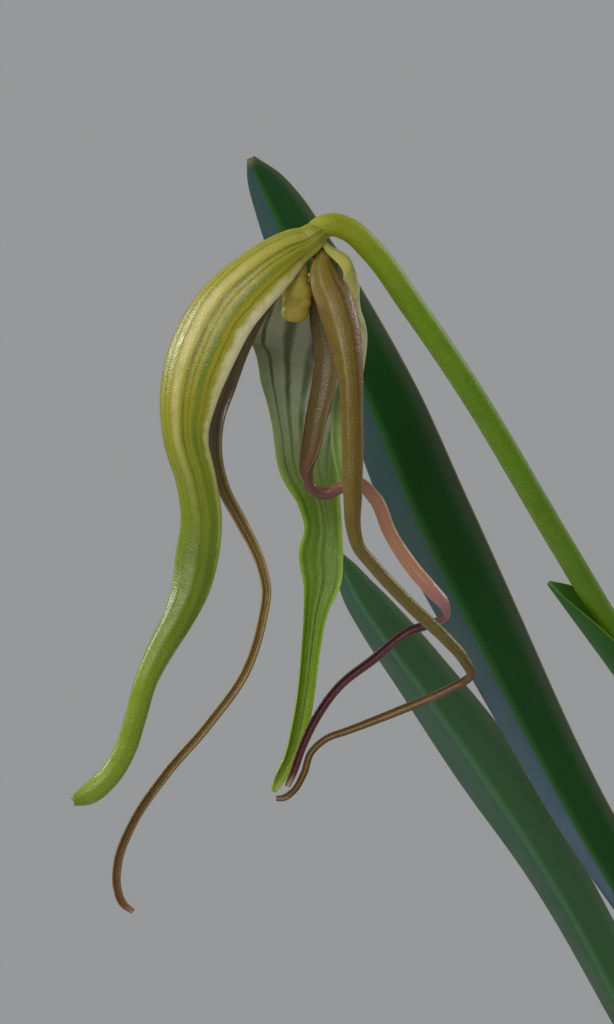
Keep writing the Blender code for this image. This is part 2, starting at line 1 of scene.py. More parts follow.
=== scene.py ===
"""Looks for the potted slipper orchid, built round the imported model.

Lengths in the tables are millimetres, as in the model's own source. The origin is the middle of the pot's
underside, +Z is up, and the flower hangs to the left (-X) and front (-Y).
"""

import math

import bmesh
import bpy
import numpy as np
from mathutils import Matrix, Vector


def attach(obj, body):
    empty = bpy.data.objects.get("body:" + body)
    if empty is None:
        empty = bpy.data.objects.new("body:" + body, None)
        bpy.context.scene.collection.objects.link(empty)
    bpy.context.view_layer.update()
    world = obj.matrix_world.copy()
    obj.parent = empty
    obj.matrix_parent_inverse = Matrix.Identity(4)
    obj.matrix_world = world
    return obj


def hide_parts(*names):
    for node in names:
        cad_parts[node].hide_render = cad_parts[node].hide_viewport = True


MM = 0.001
FRONT = np.array([0.0, -1.0, 0.0])  # the side that the flower is seen from
NECK = np.array([-124.0, -70.0, 398.0])  # where the sepals and petals leave the stem
CROWN_TOP = 88.0
FOOT = CROWN_TOP + 0.4

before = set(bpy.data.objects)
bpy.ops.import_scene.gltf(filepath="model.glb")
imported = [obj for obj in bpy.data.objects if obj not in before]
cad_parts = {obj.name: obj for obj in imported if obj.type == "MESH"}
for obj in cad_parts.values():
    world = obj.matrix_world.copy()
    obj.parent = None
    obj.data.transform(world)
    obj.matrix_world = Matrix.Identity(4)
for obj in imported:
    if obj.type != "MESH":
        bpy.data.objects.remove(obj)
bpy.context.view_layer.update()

# Pot, bark and blades
POT_HEIGHT = 115.0
POT_BASE_RADIUS = 47.0
POT_TOP_RADIUS = 61.0
POT_RIM_RADIUS = 65.0
POT_RIM_HEIGHT = 20.0
POT_WALL = 2.6
POT_FLOOR = 3.4
DRAIN_RADIUS = 4.0
DRAIN_RING = 27.0
DRAIN_COUNT = 5
BARK_CHIPS = 520
BARK_SEED = 7
LEAF_THICKNESS = 0.95
PETAL_THICKNESS = 0.62
BRACT_THICKNESS = 0.6
STEM_RADIUS = 2.75

# Floor, light and camera, in metres: each light's place, width, power and colour
FLOOR_RADIUS = 1.1
SKY_COLOUR = (0.86, 0.87, 0.88, 1.0)
SKY_STRENGTH = 0.36
FLOWER_MIDDLE = (-0.13, -0.07, 0.34)
LIGHTS = {
    "key": ((-0.5, -0.8, 0.9), 0.8, 6.5, (1.0, 0.97, 0.92)),
    "fill": ((-0.9, 0.14, 0.78), 0.3, 4.0, (0.95, 0.98, 1.0)),
    "rim": ((0.62, 0.3, 0.85), 0.36, 3.5, (1.0, 0.98, 0.95)),
}
CAMERA_PLACE = (-0.1253, -0.820, 0.3374)
CAMERA_LENS = 120.0
SENSOR_WIDTH = 36.0

# Flower stem from the crown to the neck: x, y, z, radius
STEM_ROWS = [
    (0, 0, FOOT, 2.9),
    (0.5, 0, 125, 2.9),
    (0, -4, 160, 2.9),
    (-7, -11, 203, 2.85),
    (-20, -19, 243, 2.8),
    (-38.5, -28, 279.5, 2.8),
    (-55, -38, 309.5, 2.75),
    (-69.7, -48, 333.3, 2.75),
    (-91.2, -60, 367.7, 2.75),
    (-102.5, -65, 383.6, 2.75),
    (-111, -68, 394.9, 2.7),
    (-116.2, -69.2, 399.5, 2.65),
    (-120, -70, 400.5, 2.6),
    (-122.7, -70, 399.6, 2.5),
    (-124, -70, 398, 2.4),
]
# Leaves: x, y, z of the keel, width across the V, slope of the V's sides, turn of the keel from the front
LEAF_NEAR_LEFT = [
    (-9.5, 0, FOOT, 6.8, 65, 90),
    (-9.6, 0, 112, 7, 65, 90),
    (-12.5, -1, 150, 9, 58, 88),
    (-23, -5, 186, 12, 48, 75),
    (-40, -9, 226, 15, 36, 55),
    (-62.5, -10, 265.5, 17, 28, 40),
    (-85.3, -14, 308.8, 21.2, 25, 35),
    (-99.2, -16, 336.6, 23, 25, 35),
    (-109.6, -18, 361.8, 21.5, 25, 35),
    (-121, -18, 384.5, 19.4, 25, 35),
    (-128.5, -18, 398, 17.6, 25, 35),
    (-133.6, -18, 409.6, 13.4, 22, 35),
    (-136.8, -18, 416.4, 8.2, 18, 35),
    (-138.6, -18, 420.6, 2.2, 10, 35),
]
LEAF_FAR_LEFT = [
    (-12.8, 0, FOOT, 7.4, 65, 90),
    (-13.1, 0, 108, 7.4, 65, 90),
    (-16.5, 1, 128, 8.4, 62, 88),
    (-25, 4, 157, 10, 52, 80),
    (-36, 9, 186, 12.6, 40, 60),
    (-47.6, 12, 214, 15, 30, 42),
    (-70, 12, 254.8, 17.2, 25, 35),
    (-83.5, 12, 275, 19.2, 25, 35),
    (-98, 12, 295.4, 16.8, 25, 35),
    (-108.7, 12, 310.1, 13.6, 24, 35),
    (-113.4, 12, 317.4, 10.6, 20, 35),
    (-116, 12, 322.8, 7, 16, 35),
    (-118.2, 12, 327.7, 2, 10, 35),
]
# The other leaves arch by a rule: name, side, keel's distance from the stem, length, length that stays
# folded at the foot, lean at the tip, drift backwards along the leaf, widest across, turn at the tip
ARCHING_LEAVES = [
    ("leaf_low_left", -1, 16, 205, 16, 112, 0.06, 20, 74),
    ("leaf_young_right", 1, 9.5, 195, 48, 12, -0.04, 11.5, -60),
    ("leaf_far_right", 1, 12.8, 395, 32, 96, 0.14, 23, -42),
    ("leaf_near_right", 1, 16.1, 320, 26, 104, -0.14, 22, -50),
    ("leaf_low_right", 1, 19.4, 220, 18, 116, 0.02, 20, -70),
]
# Flower, measured from the neck: x, y, z, width across, curl of the section,
# turn of the outer side from the front
DORSAL_SEPAL = [
    (-1.4, -3.3, -0.8, 7.6, 110, -12),
    (-4.3, -4, -2, 10, 112, -20),
    (-8.2, -5.2, -4.1, 12.8, 110, -27),
    (-13.6, -6.8, -8.1, 15.2, 106, -30),
    (-20.3, -8, -15, 16.6, 100, -28),
    (-25.8, -9, -25.7, 16.6, 95, -25),
    (-28.3, -9, -35.8, 14, 100, -20),
    (-28.4, -8, -44.9, 10.8, 110, -15),
    (-26, -7, -53.6, 9.6, 110, -10),
    (-24.6, -6, -62.3, 9.7, 105, -5),
    (-25.5, -6, -71.1, 10, 110, 0),
    (-26.8, -7, -77.6, 8.7, 130, 0),
    (-29.3, -8, -83.6, 7.2, 170, 0),
    (-32.6, -9, -89.5, 6.2, 210, 0),
    (-36.2, -10, -97, 5.2, 240, 0),
    (-38.7, -10, -105.7, 4.9, 250, 0),
    (-40.8, -10, -112.2, 4.9, 250, 0),
    (-44.3, -10, -118, 5, 250, 0),
    (-48.8, -11, -121.9, 4.6, 240, 0),
    (-51.8, -12, -123.2, 2.4, 200, 0),
]
SYNSEPAL = [
    (3.2, 1.5, -2.1, 4.6, 220, 120),
    (6.9, 4.1, -4.7, 8.8, 256, 122),
    (8, 7.4, -8.3, 15.2, 256, 131),
    (7.2, 10.7, -14, 23.2, 232, 142),
    (6, 13.3, -22.1, 28.4, 204, 146),
    (4, 14.6, -28.6, 28.6, 186, 151),
    (1.2, 14.7, -35.5, 22.6, 160, 160),
    (-0.4, 14.6, -42.2, 17.2, 124, 170),
    (-0.6, 15, -50.1, 14.6, 85, 176),
    (1.4, 14.2, -57.9, 10.4, 75, 178),
    (2.3, 13, -64.6, 9, 75, 180),
    (1.8, 12, -70.2, 10.6, 80, 180),
    (2, 11, -75.8, 9.4, 95, 180),
    (0.7, 10, -82.4, 6.2, 130, 180),
    (-0.5, 9, -91.3, 4.6, 180, 180),
    (-1.5, 8, -100.1, 4.2, 210, 180),
    (-2.9, 7.2, -108.1, 4.1, 220, 180),
    (-5.1, 6.8, -115.3, 3.2, 220, 180),
    (-7.5, 6.6, -120, 2.7, 200, 180),
    (-8.8, 6.6, -122.6, 1.6, 120, 180),
]
PETAL_NEAR = [
    (1.2, -0.3, -2.3, 1.7, 60, 20),
    (1.9, -1, -3.9, 3, 70, 10),
    (2.2, -3, -6.9, 6.2, 85, 3),
    (2.9, -5.4, -10.2, 7.8, 98, 0),
    (4.5, -8.2, -14.3, 8.6, 108, 0),
    (7, -11, -23.4, 7.6, 125, 0),
    (8.2, -12, -32.5, 5.9, 140, 0),
    (8.4, -12, -38.5, 5.3, 160, 0),
    (8.6, -12, -47.2, 4.9, 190, 0),
    (8.6, -12, -57, 4.3, 220, 0),
    (8.8, -11.4, -64.3, 3.4, 240, 0),
    (9.8, -11, -68, 3, 250, 0),
    (13, -10.2, -72.1, 3, 250, 0),
    (21.1, -9, -80.8, 3, 250, 0),
    (29.3, -10, -88.6, 2.8, 250, 0),
    (32.7, -10, -92.2, 2.6, 250, 10),
    (35, -8, -95.8, 2.4, 240, 60),
    (33.4, -5, -97.9, 2.3, 230, 120),
    (29.9, -4, -99.5, 2.2, 210, 150),
    (18.4, -3, -104.4, 2.1, 210, 165),
    (7.7, -3, -108.5, 1.8, 220, 170),
    (2.9, -3, -110.3, 1.7, 220, 170),
    (-0.2, -2, -113.1, 1.7, 220, 170),
    (-2, 0, -118.2, 1.7, 220, 170),
    (-4.2, 1.4, -122, 1.6, 220, 170),
    (-6.4, 2.4, -123.6, 1.7, 190, 170),
    (-8, 3, -123.8, 1.6, 120, 170),
]
LIP = [
    (-0.4, 0.3, -2.2, 1.6, 50, 95),
    (-0.2, 0.8, -3.8, 2.2, 50, 110),
    (0.5, 1.8, -6.8, 3.4, 55, 130),
    (1.4, 2.6, -11.6, 5, 60, 150),
    (2.4, 3, -19.6, 6.2, 70, 165),
    (3.2, 3, -24.9, 6.2, 75, 168),
    (2.6, 2.4, -32, 6, 85, 168),
    (1, 2, -40.1, 5.4, 110, 165),
    (-0.1, 2, -46.9, 4.8, 140, 158),
    (-0.5, 2, -51.8, 4, 180, 120),
    (0.4, 2, -54.9, 3.2, 220, 60),
    (3.2, 2, -56.2, 2.8, 240, 15),
    (6.2, 1, -55.2, 2.7, 240, 0),
    (9.7, 0, -54.2, 2.8, 240, 0),
    (13.6, -1, -57.6, 3.2, 240, 0),
    (17, -2, -65.3, 3.2, 240, 0),
    (22.3, -3, -73.4, 3.4, 240, 0),
    (26, -4, -77.4, 3.4, 220, 10),
    (29.2, -3.6, -80.8, 3.2, 170, 35),
    (29.6, -1.2, -83.9, 2.9, 150, 90),
    (26, 0.8, -85.5, 2.5, 170, 140),
    (21.4, 1, -86.9, 2.2, 200, 165),
    (13, 1, -93.2, 2.2, 220, 180),
    (6, 1, -98.7, 2.1, 220, 180),
    (0.7, 1, -105.9, 2.1, 220, 180),
    (-2.4, 1, -112.5, 1.9, 220, 180),
    (-4.4, 1.4, -118.2, 1.8, 200, 180),
    (-5.6, 2.2, -121, 1.6, 120, 180),
]
PETAL_FAR = [
    (-0.7, 2, -0.9, 1.6, 60, 180),
    (-1.8, 2.6, -2.6, 2.2, 60, 180),
    (-6.2, 3, -7.9, 3.8, 70, 178),
    (-11.3, 3, -15.6, 4.4, 75, 176),
    (-15.8, 3.5, -24.6, 4.6, 80, 172),
    (-18.6, 3.5, -32.8, 4.4, 90, 168),
    (-20.8, 3.5, -40.2, 4, 120, 160),
    (-21, 3, -48, 3.5, 160, 155),
    (-19.2, 3, -55.7, 3.1, 200, 160),
    (-15.9, 3, -62.1, 2.9, 220, 165),
    (-11.2, 2, -72.5, 2.4, 230, 170),
    (-10.1, 1, -78.2, 2.3, 230, 170),
    (-10.7, 0, -83.4, 2.2, 230, 160),
    (-14.3, 0, -95.5, 2.2, 230, 150),
    (-22.6, 0, -107.4, 2.2, 230, 150),
    (-32.3, 0, -118.6, 2.2, 230, 160),
    (-39.5, 0, -129.1, 2.1, 230, 170),
    (-42.7, 0, -137.5, 2.1, 230, 170),
    (-42.9, 0, -143, 2, 230, 170),
    (-41.6, 0, -146.6, 1.9, 220, 170),
    (-39.5, 0, -148.4, 1.6, 120, 170),
]
COLUMN_LOBES = [((-3.5, -1.2, -12.4), (3.4, 2.0, 3.1)), ((-3.9, -1.6, -16.9), (3.2, 1.9, 2.1))]
# Bracts round the stem: name, height of the foot, length, side it opens to, how far the tip stands off
BRACTS = [
    ("bract_upper", 292.0, 38.0, (-0.70, 0.45, -0.42), 7.8),
    ("bract_lower", 206.0, 34.0, (0.75, -0.35, 0.30), 6.4),
]

# Dry sheaths on the crown: x, height, lean of the tip to the right
SHEATHS = [(-18.8, 34.0, -9.0), (21.6, 38.0, 11.0), (-7.6, 26.0, -2.0), (7.9, 30.0, 3.0)]

# Curves and sections


def unit(v):
    return v / np.linalg.norm(v, axis=-1, keepdims=True)


def travelled(points):
    """Distance along a line at each of its points."""
    return np.concatenate([[0.0], np.cumsum(np.linalg.norm(np.diff(points, axis=0), axis=1))])


def smooth_rows(rows, steps, bend_share=0.3):
    """A smooth curve through the rows, cut into steps that are shorter where it bends more."""
    rows = np.array(rows, float)
    at = travelled(rows[:, :3])
    slope = np.gradient(rows, at, axis=0)
    count = 2400
    fine = np.linspace(0.0, at[-1], count)
    k = np.clip(np.searchsorted(at, fine, side="right") - 1, 0, len(rows) - 2)
    h = np.diff(at)[k][:, None]
    t = (fine[:, None] - at[k][:, None]) / h
    curve = (
        rows[k] * (2 * t**3 - 3 * t**2 + 1)
        + slope[k] * h * (t**3 - 2 * t**2 + t)
        + rows[k + 1] * (3 * t**2 - 2 * t**3)
        + slope[k + 1] * h * (t**3 - t**2)
    )
    step = np.diff(curve[:, :3], axis=0)
    heading = unit(step)
    bend = np.arccos(np.clip(np.sum(heading[1:] * heading[:-1], axis=1), -1, 1))
    bend = np.concatenate([bend, bend[-1:]])
    length = np.linalg.norm(step, axis=1)
    measure = (1 - bend_share) * length / length.sum() + bend_share * bend / bend.sum()
    measure = np.concatenate([[0.0], np.cumsum(measure)])
    wanted = np.interp(np.linspace(0, measure[-1], steps + 1), measure, np.arange(count))
    return np.array([np.interp(wanted, np.arange(count), column) for column in curve.T]).T


def row_share(rows, k):
    """How far along the curve a row is, from 0 to 1."""
    at = travelled(np.array(rows, float)[:, :3])
    return float(np.interp(k, np.arange(len(rows)), at / at[-1]))


def frames(points):
    """Heading, front side and left side of a line at each point."""
    heading = unit(np.gradient(points, axis=0))
    front = unit(FRONT - (heading @ FRONT)[:, None] * heading)
    return heading, front, np.cross(front, heading)


def arc_section(across, curl, thickness, u):
    """Middle line of a curled blade's section: sideways and outward, for u from -1 to 1."""
    half = math.radians(max(curl, 1.0)) / 2
    radius = (across - thickness) / 2 / math.sin(min(half, math.pi / 2))
    return radius * np.sin(u * half), radius * (np.cos(u * half) - 1)


def vee_section(across, fold, _thickness, u):
    """Middle line of a keeled leaf's section, with its sides sloping back by fold degrees."""
    soft = 0.16
    rise = (np.sqrt(u**2 + soft**2) - soft) * math.tan(math.radians(fold))
    return u * across / 2, -rise * across / 2


def bump(x, middle, width):
    return np.exp(-(((x - middle) / width) ** 2))


def flat_relief(t, u):
    """Extra height of the outer and the inner face, and a shift of both, in millimetres."""
    return 0 * u, 0 * u, 0 * u


# Meshes


def add_object(name, data):
    made = bpy.data.objects.new(name, data)
    bpy.context.scene.collection.objects.link(made)
    return made


def object_from(name, body, finish):
    """An object in one material from a bmesh, which is used up."""
    mesh = bpy.data.meshes.new(name)
    body.to_mesh(mesh)
    body.free()
    mesh.materials.append(finish)
    return add_object(name, mesh)


def bake_modifiers(piece):
    """Turn the piece's modifiers into plain geometry."""
    bpy.context.view_layer.update()
    shaped = bpy.data.meshes.new_from_object(piece.evaluated_get(bpy.context.evaluated_depsgraph_get()))
    piece.modifiers.clear()
    piece.data = shaped


def mesh_object(name, points, faces, materials, slots=None, uv=None):
    """An object from points in millimetres. uv holds one pair for each point of the mesh."""
    mesh = bpy.data.meshes.new(name)
    mesh.from_pydata((np.asarray(points, float) * MM).tolist(), [], faces)
    for finish in materials:
        mesh.materials.append(finish)
    if slots is not None:
        mesh.polygons.foreach_set("material_index", np.asarray(slots, np.int32))
    if uv is not None:
        layer = mesh.uv_layers.new(name="ribbon")
        corners = np.zeros(len(mesh.loops), np.int32)
        mesh.loops.foreach_get("vertex_index", corners)
        layer.data.foreach_set("uv", np.asarray(uv, np.float32)[corners].ravel())
    mesh.shade_smooth()
    mesh.update()
    return add_object(name, mesh)


def place(piece, node):
    """The piece stands for a node of the model, whose own part it hides, or only adds to it."""
    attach(piece, "root")
    if node:
        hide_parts(node)


def ribbon_surface(rows, steps, span, thickness, section, relief=flat_relief, origin=(0, 0, 0), edge=4):
    """Both faces of a blade along the rows, with thin rounded margins."""
    line = smooth_rows(rows, steps)
    line[:, :3] += np.array(origin)
    heading, front, left = frames(line[:, :3])
    along = travelled(line[:, :3])
    along /= along[-1]
    crowding = 0.45 * math.pi  # the points stand closer together towards the margins
    u = np.sin(np.linspace(-crowding, crowding, span + 1)) / math.sin(crowding)
    outer, inner, sides = [], [], []
    for i, (x, y, z, across, shape, turn) in enumerate(line):
        angle = math.radians(turn)
        outward = math.cos(angle) * front[i] + math.sin(angle) * left[i]
        side = np.cross(heading[i], outward)
        sideways, out = section(across, shape, thickness, u)
        rise_out, rise_in, shift = relief(along[i], u)
        out = out + shift
        along_u = unit(np.stack([np.gradient(sideways, u), np.gradient(out, u)], axis=1))
        thin = thickness / 2 * np.sqrt(np.clip(1 - np.abs(u) ** edge, 0.02, 1))
        middle = np.array([x, y, z]) + np.outer(sideways, side) + np.outer(out, outward)
        normal = np.outer(-along_u[:, 1], side) + np.outer(along_u[:, 0], outward)
        outer.append(middle + normal * (thin + rise_out)[:, None])
        inner.append(middle - normal * (thin + rise_in)[:, None])
        tangent = np.outer(along_u[:, 0], side) + np.outer(along_u[:, 1], outward)
        sides.append((-tangent[0], tangent[-1], normal[0], normal[-1]))
    return {
        "outer": np.array(outer),
        "inner": np.array(inner),
        "u": (u + 1) / 2,
        "t": along,
        "heading": heading,
        "margins": np.array(sides),
    }


def ribbon(name, surface, materials):
    """One closed mesh of a blade: the first material is its outer face's, the second its inner face's."""
    steps, row = surface["outer"].shape[0] - 1, surface["outer"].shape[1]
    points = np.concatenate([surface["outer"].reshape(-1, 3), surface["inner"].reshape(-1, 3)])
    uv = np.stack(np.meshgrid(surface["u"], surface["t"]), axis=2).reshape(-1, 2)
    back = (steps + 1) * row
    faces, slots = [], []
    for i in range(steps):
        for j in range(row - 1):
            a, b, c, d = i * row + j, i * row + j + 1, (i + 1) * row + j + 1, (i + 1) * row + j
            faces += [(a, d, c, b), (back + a, back + b, back + c, back + d)]
            slots += [0, 1]
        a, d = i * row, (i + 1) * row
        faces.append((a, back + a, back + d, d))
        a, d = a + row - 1, d + row - 1
        faces.append((a, d, back + d, back + a))
        slots += [0, 0]
    for i, flip in ((0, False), (steps, True)):
        for j in range(row - 1):
            a, b = i * row + j, i * row + j + 1
            end = (a, b, back + b, back + a)
            faces.append(end[::-1] if flip else end)
            slots.append(0)
    return mesh_object(name, points, faces, materials, slots, np.concatenate([uv, uv]))


def tube_surface(rows, steps, sides, relief):
    """Rings of points round a stem, and how far along each one is."""
    line = smooth_rows(rows, steps)
    _, front, left = frames(line[:, :3])
    along = travelled(line[:, :3])
    along /= along[-1]
    around = np.arange(sides) * 2 * math.pi / sides
    rings = []
    for i, (x, y, z, radius) in enumerate(line):
        ring = np.outer(np.cos(around), front[i]) + np.outer(np.sin(around), left[i])
        rings.append(np.array([x, y, z]) + ring * (radius * relief(along[i], around))[:, None])
    return np.array(rings), along


def tube(name, rings, along, finish):
    """One closed mesh of a stem from its rings of points."""
    steps, sides = len(rings) - 1, rings.shape[1]
    faces = []
    for i in range(steps):
        for j in range(sides):
            k = (j + 1) % sides
            faces.append((i * sides + j, i * sides + k, (i + 1) * sides + k, (i + 1) * sides + j))
    points = rings.reshape(-1, 3)
    faces.append(tuple(reversed(range(sides))))
    faces.append(tuple(steps * sides + j for j in range(sides)))
    turn = np.abs(np.arange(sides) / sides * 2 - 1)
    uv = np.stack(np.meshgrid(turn, along), axis=2).reshape(-1, 2)
    return mesh_object(name, points, faces, [finish], uv=uv)


def hairs(name, roots, directions, lengths, thickness, finish):
    """Fine three-sided hairs, bent a little at their middle."""
    points, faces = [], []
    for root, way, length in zip(roots, directions, lengths):
        way = unit(way)
        side = unit(np.cross(way, [0.31, 0.52, 0.79]))
        other = np.cross(way, side)
        start = len(points)
        sag = np.array([0.0, 0.0, -0.12 * length])
        for height, width, drop in ((-0.08, 1.0, 0.0), (0.55, 0.6, 0.35), (1.0, 0.0, 1.0)):
            centre = root + way * length * height + sag * drop
            count = 3 if width else 1
            for k in range(count):
                angle = 2 * math.pi * k / 3
                spoke = math.cos(angle) * side + math.sin(angle) * other
                points.append(centre + spoke * thickness / 2 * width)
        for k in range(3):
            n = (k + 1) % 3
            faces.append((start + k, start + n, start + 3 + n, start + 3 + k))
            faces.append((start + 3 + k, start + 3 + n, start + 6))
        faces.append((start + 2, start + 1, start))
    return mesh_object(name, points, faces, [finish])


def turned(name, profile, sides, materials):
    """A solid of revolution about Z from an outline of (radius, height) that starts and ends on the axis."""
    points, rings = [], []
    for radius, height in profile:
        count = sides if radius > 0 else 1
        rings.append(list(range(len(points), len(points) + count)))
        for j in range(count):
            angle = 2 * math.pi * j / sides
            points.append((radius * math.cos(angle), radius * math.sin(angle), height))
    faces = []
    for lower, upper in zip(rings, rings[1:]):
        for j in range(sides):
            k = (j + 1) % sides
            corners = [lower[j % len(lower)], lower[k % len(lower)]]
            corners += [upper[k % len(upper)], upper[j % len(upper)]]
            corners = list(dict.fromkeys(corners))
            if len(corners) > 2:
                faces.append(corners)
    made = mesh_object(name, points, faces, materials)
    made.data.set_sharp_from_angle(angle=math.radians(40))
    return made

# Materials


def linear(colour):
    """Linear colour with full alpha from screen colour in steps of 255."""
    shares = [c / 255 for c in colour]
    return (*[s / 12.92 if s <= 0.04045 else ((s + 0.055) / 1.055) ** 2.4 for s in shares], 1.0)


class Graph:
    """Short calls for building one material's nodes."""

    def __init__(self, name):
        self.material = bpy.data.materials.new(name)
        self.material.use_nodes = True
        self.nodes = self.material.node_tree.nodes
        self.links = self.material.node_tree.links
        self.shader = self.nodes["Principled BSDF"]

    def put(self, value, socket):
        if isinstance(value, bpy.types.NodeSocket):
            self.links.new(value, socket)
        else:
            socket.default_value = value

    def add(self, kind, inputs=None, **settings):
        made = self.nodes.new(kind)
        for key, value in settings.items():
            setattr(made, key, value)
        for key, value in (inputs or {}).items():
            self.put(value, made.inputs[key])
        return made

    def math(self, operation, a, b=0.0):
        return self.add("ShaderNodeMath", {0: a, 1: b}, operation=operation).outputs[0]

    def away(self, value, middle):
        """How far the value is from the middle."""
        return self.math("ABSOLUTE", self.math("SUBTRACT", value, middle))

    def stray(self, vector, scale, detail, width):
        """A random offset about zero that varies over this width."""
        return self.math("MULTIPLY", self.math("SUBTRACT", self.noise(vector, scale, detail), 0.5), width)

    def between(self, value, low, high, to_low=0.0, to_high=1.0):
        """A smooth step of the value from low to high."""
        made = self.add(
            "ShaderNodeMapRange",
            {"Value": value, "From Min": low, "From Max": high, "To Min": to_low, "To Max": to_high},
            interpolation_type="SMOOTHSTEP",
        )
        return made.outputs["Result"]

    def ramp(self, value, stops):
        made = self.add("ShaderNodeValToRGB", {"Fac": value})
        bar = made.color_ramp
        bar.elements[0].position, bar.elements[0].color = stops[0]
        bar.elements[1].position, bar.elements[1].color = stops[-1]
        for position, colour in stops[1:-1]:
            bar.elements.new(position).color = colour
        return made.outputs["Color"]

    def mix(self, factor, a, b, blend="MIX"):
        made = self.nodes.new("ShaderNodeMix")
        made.data_type = "RGBA"
        made.blend_type = blend
        self.put(factor, made.inputs[0])
        self.put(a, made.inputs[6])
        self.put(b, made.inputs[7])
        return made.outputs[2]

    def tint(self, colour, times, factor):
        """The colour, multiplied by another as far as the factor says."""
        return self.mix(factor, colour, self.mix(1.0, colour, (*times, 1.0), "MULTIPLY"))

    def noise(self, vector, scale, detail=2.0, roughness=0.5):
        made = self.add(
            "ShaderNodeTexNoise",
            {"Vector": vector, "Scale": scale, "Detail": detail, "Roughness": roughness},
        )
        return made.outputs["Fac"]

    def cells(self, vector, scale):
        return self.add("ShaderNodeTexVoronoi", {"Vector": vector, "Scale": scale}).outputs["Distance"]

    def bump(self, height, distance, strength=1.0, before=None):
        made = self.add("ShaderNodeBump", {"Height": height, "Distance": distance, "Strength": strength})
        if before is not None:
            self.links.new(before, made.inputs["Normal"])
        return made.outputs["Normal"]

    def spot(self):
        return self.add("ShaderNodeTexCoord").outputs["Object"]

    def ribbon(self):
        """The place across (0 to 1) and along (0 to 1) a blade or stem."""
        where = self.add("ShaderNodeUVMap", uv_map="ribbon").outputs[0]
        split = self.add("ShaderNodeSeparateXYZ", {0: where})
        return split.outputs[0], split.outputs[1]

    def finish(
        self, colour, roughness, normal, soft=0.0, soft_radius=0.001, coat=0.0, coat_rough=0.2, gloss=0.5
    ):
        """Set the shader and return the material. soft is its share of subsurface scattering."""
        self.put(colour, self.shader.inputs["Base Color"])
        self.put(roughness, self.shader.inputs["Roughness"])
        self.links.new(normal, self.shader.inputs["Normal"])
        if coat:
            self.links.new(normal, self.shader.inputs["Coat Normal"])
        settings = {
            "Subsurface Weight": soft,
            "Subsurface Radius": (1.0, 0.8, 0.35),
            "Subsurface Scale": soft_radius,
            "Coat Weight": coat,
            "Coat Roughness": coat_rough,
            "Specular IOR Level": gloss,
        }
        for name, value in settings.items():
            self.shader.inputs[name].default_value = value
        return self.material


def along_stops(rows, colours, first):
    """Ramp stops from colours that are given by row number, counted from the table's row called first."""
    return [(row_share(rows, k + first), linear(colour)) for k, colour in colours.items()]


def petal_material(
    name,
    rows,
    colours,
    low_side=None,
    high_side=None,
    lines=(),
    mottle=0.2,
    shine=0.42,
    coat=0.25,
    grain=1.0,
    sides_reach=(0.02, 0.2),
    first=0,
):
    """Skin of a petal or sepal.

    colours run along the blade. low_side and high_side colour its margins (u = 0 and u = 1). Each of lines
    is a vein, stripe or ridge along it, or a painted highlight on a ridge: (place across, half its width,
    colour, strengths by row).
    """
    g = Graph(name)
    u, t = g.ribbon()
    spot = g.spot()
    across = g.math("ADD", u, g.stray(spot, 130, 2, 0.05))
    colour = g.ramp(t, along_stops(rows, colours, first))
    height = g.math("MULTIPLY", g.noise(spot, 700, 2), 0.5)
    broken = g.between(g.noise(spot, 220, 3), 0.25, 0.6, 0.6, 1.0)
    for place_across, half_width, line_colour, strengths in lines:
        line = g.between(g.away(across, place_across), half_width, half_width * 0.2)
        stops = [(row_share(rows, k + first), (s, s, s, 1.0)) for k, s in strengths.items()]
        strength = g.math("MULTIPLY", g.math("MULTIPLY", line, g.ramp(t, stops)), broken)
        colour = g.mix(strength, colour, linear(line_colour))
        height = g.math("SUBTRACT", height, g.math("MULTIPLY", strength, 0.6))
    start, reach = sides_reach
    waver = g.stray(spot, 420, 3, 0.12)
    for side, near in ((low_side, across), (high_side, g.math("SUBTRACT", 1.0, across))):
        if side:
            near = g.math("ADD", near, waver)
            colour = g.mix(g.between(near, reach, start), colour, g.ramp(t, along_stops(rows, side, first)))
    blotch = g.between(g.noise(spot, 330, 4, 0.62), 0.42, 0.72, 0.0, mottle)
    colour = g.tint(colour, (0.55, 0.58, 0.5), blotch)
    speck = g.between(g.noise(spot, 1500, 2), 0.5, 0.75, 0.0, mottle * 0.8)
    colour = g.tint(colour, (1.35, 1.32, 1.25), speck)
    cell = g.between(g.cells(spot, 2300), 0.0, 0.75)
    normal = g.bump(height, 0.00016 * grain, 0.55)
    normal = g.bump(cell, 0.00007 * grain, 0.5, normal)
    rough = g.between(g.noise(spot, 500, 3), 0.3, 0.7, shine - 0.08, shine + 0.1)
    return g.finish(colour, rough, normal, soft=0.22, soft_radius=0.0011, coat=coat, gloss=0.3)


# Leaf finishes: foot, low side, high side, keel, margin, shine, and for two of them a painted bluish
# reflection and a painted edge highlight
LEAF_LOOKS = {
    # On the near left leaf the teal low side is partly its waxy tone and partly painted cool reflection, and
    # the very dark high side is partly painted shade.
    "leaf_under": (
        (34, 72, 34), (42, 70, 68), (8, 58, 8), (30, 78, 22), (120, 112, 76), 0.42,
        (52, 78, 96), (66, 76, 62),
    ),
    "leaf_under_pale": (
        (30, 70, 22), (54, 84, 66), (50, 86, 52), (66, 106, 70), (136, 128, 104), 0.5,
        (52, 86, 56), (86, 104, 84),
    ),
    "leaf_under_plain": ((40, 84, 34), (46, 92, 44), (42, 88, 38), (58, 106, 50), (112, 116, 70), 0.42),
    "leaf_over": ((34, 80, 30), (32, 78, 30), (30, 76, 28), (50, 98, 42), (116, 108, 66), 0.36),
    "bract_outer": ((44, 88, 26), (38, 84, 26), (36, 80, 24), (60, 110, 34), (96, 128, 48), 0.42),
    "bract_inner": ((70, 122, 36), (66, 118, 36), (66, 118, 36), (84, 138, 46), (104, 140, 56), 0.45),
    "dry_sheath": ((128, 104, 62), (120, 98, 58), (116, 92, 54), (96, 74, 42), (92, 68, 40), 0.7),
}


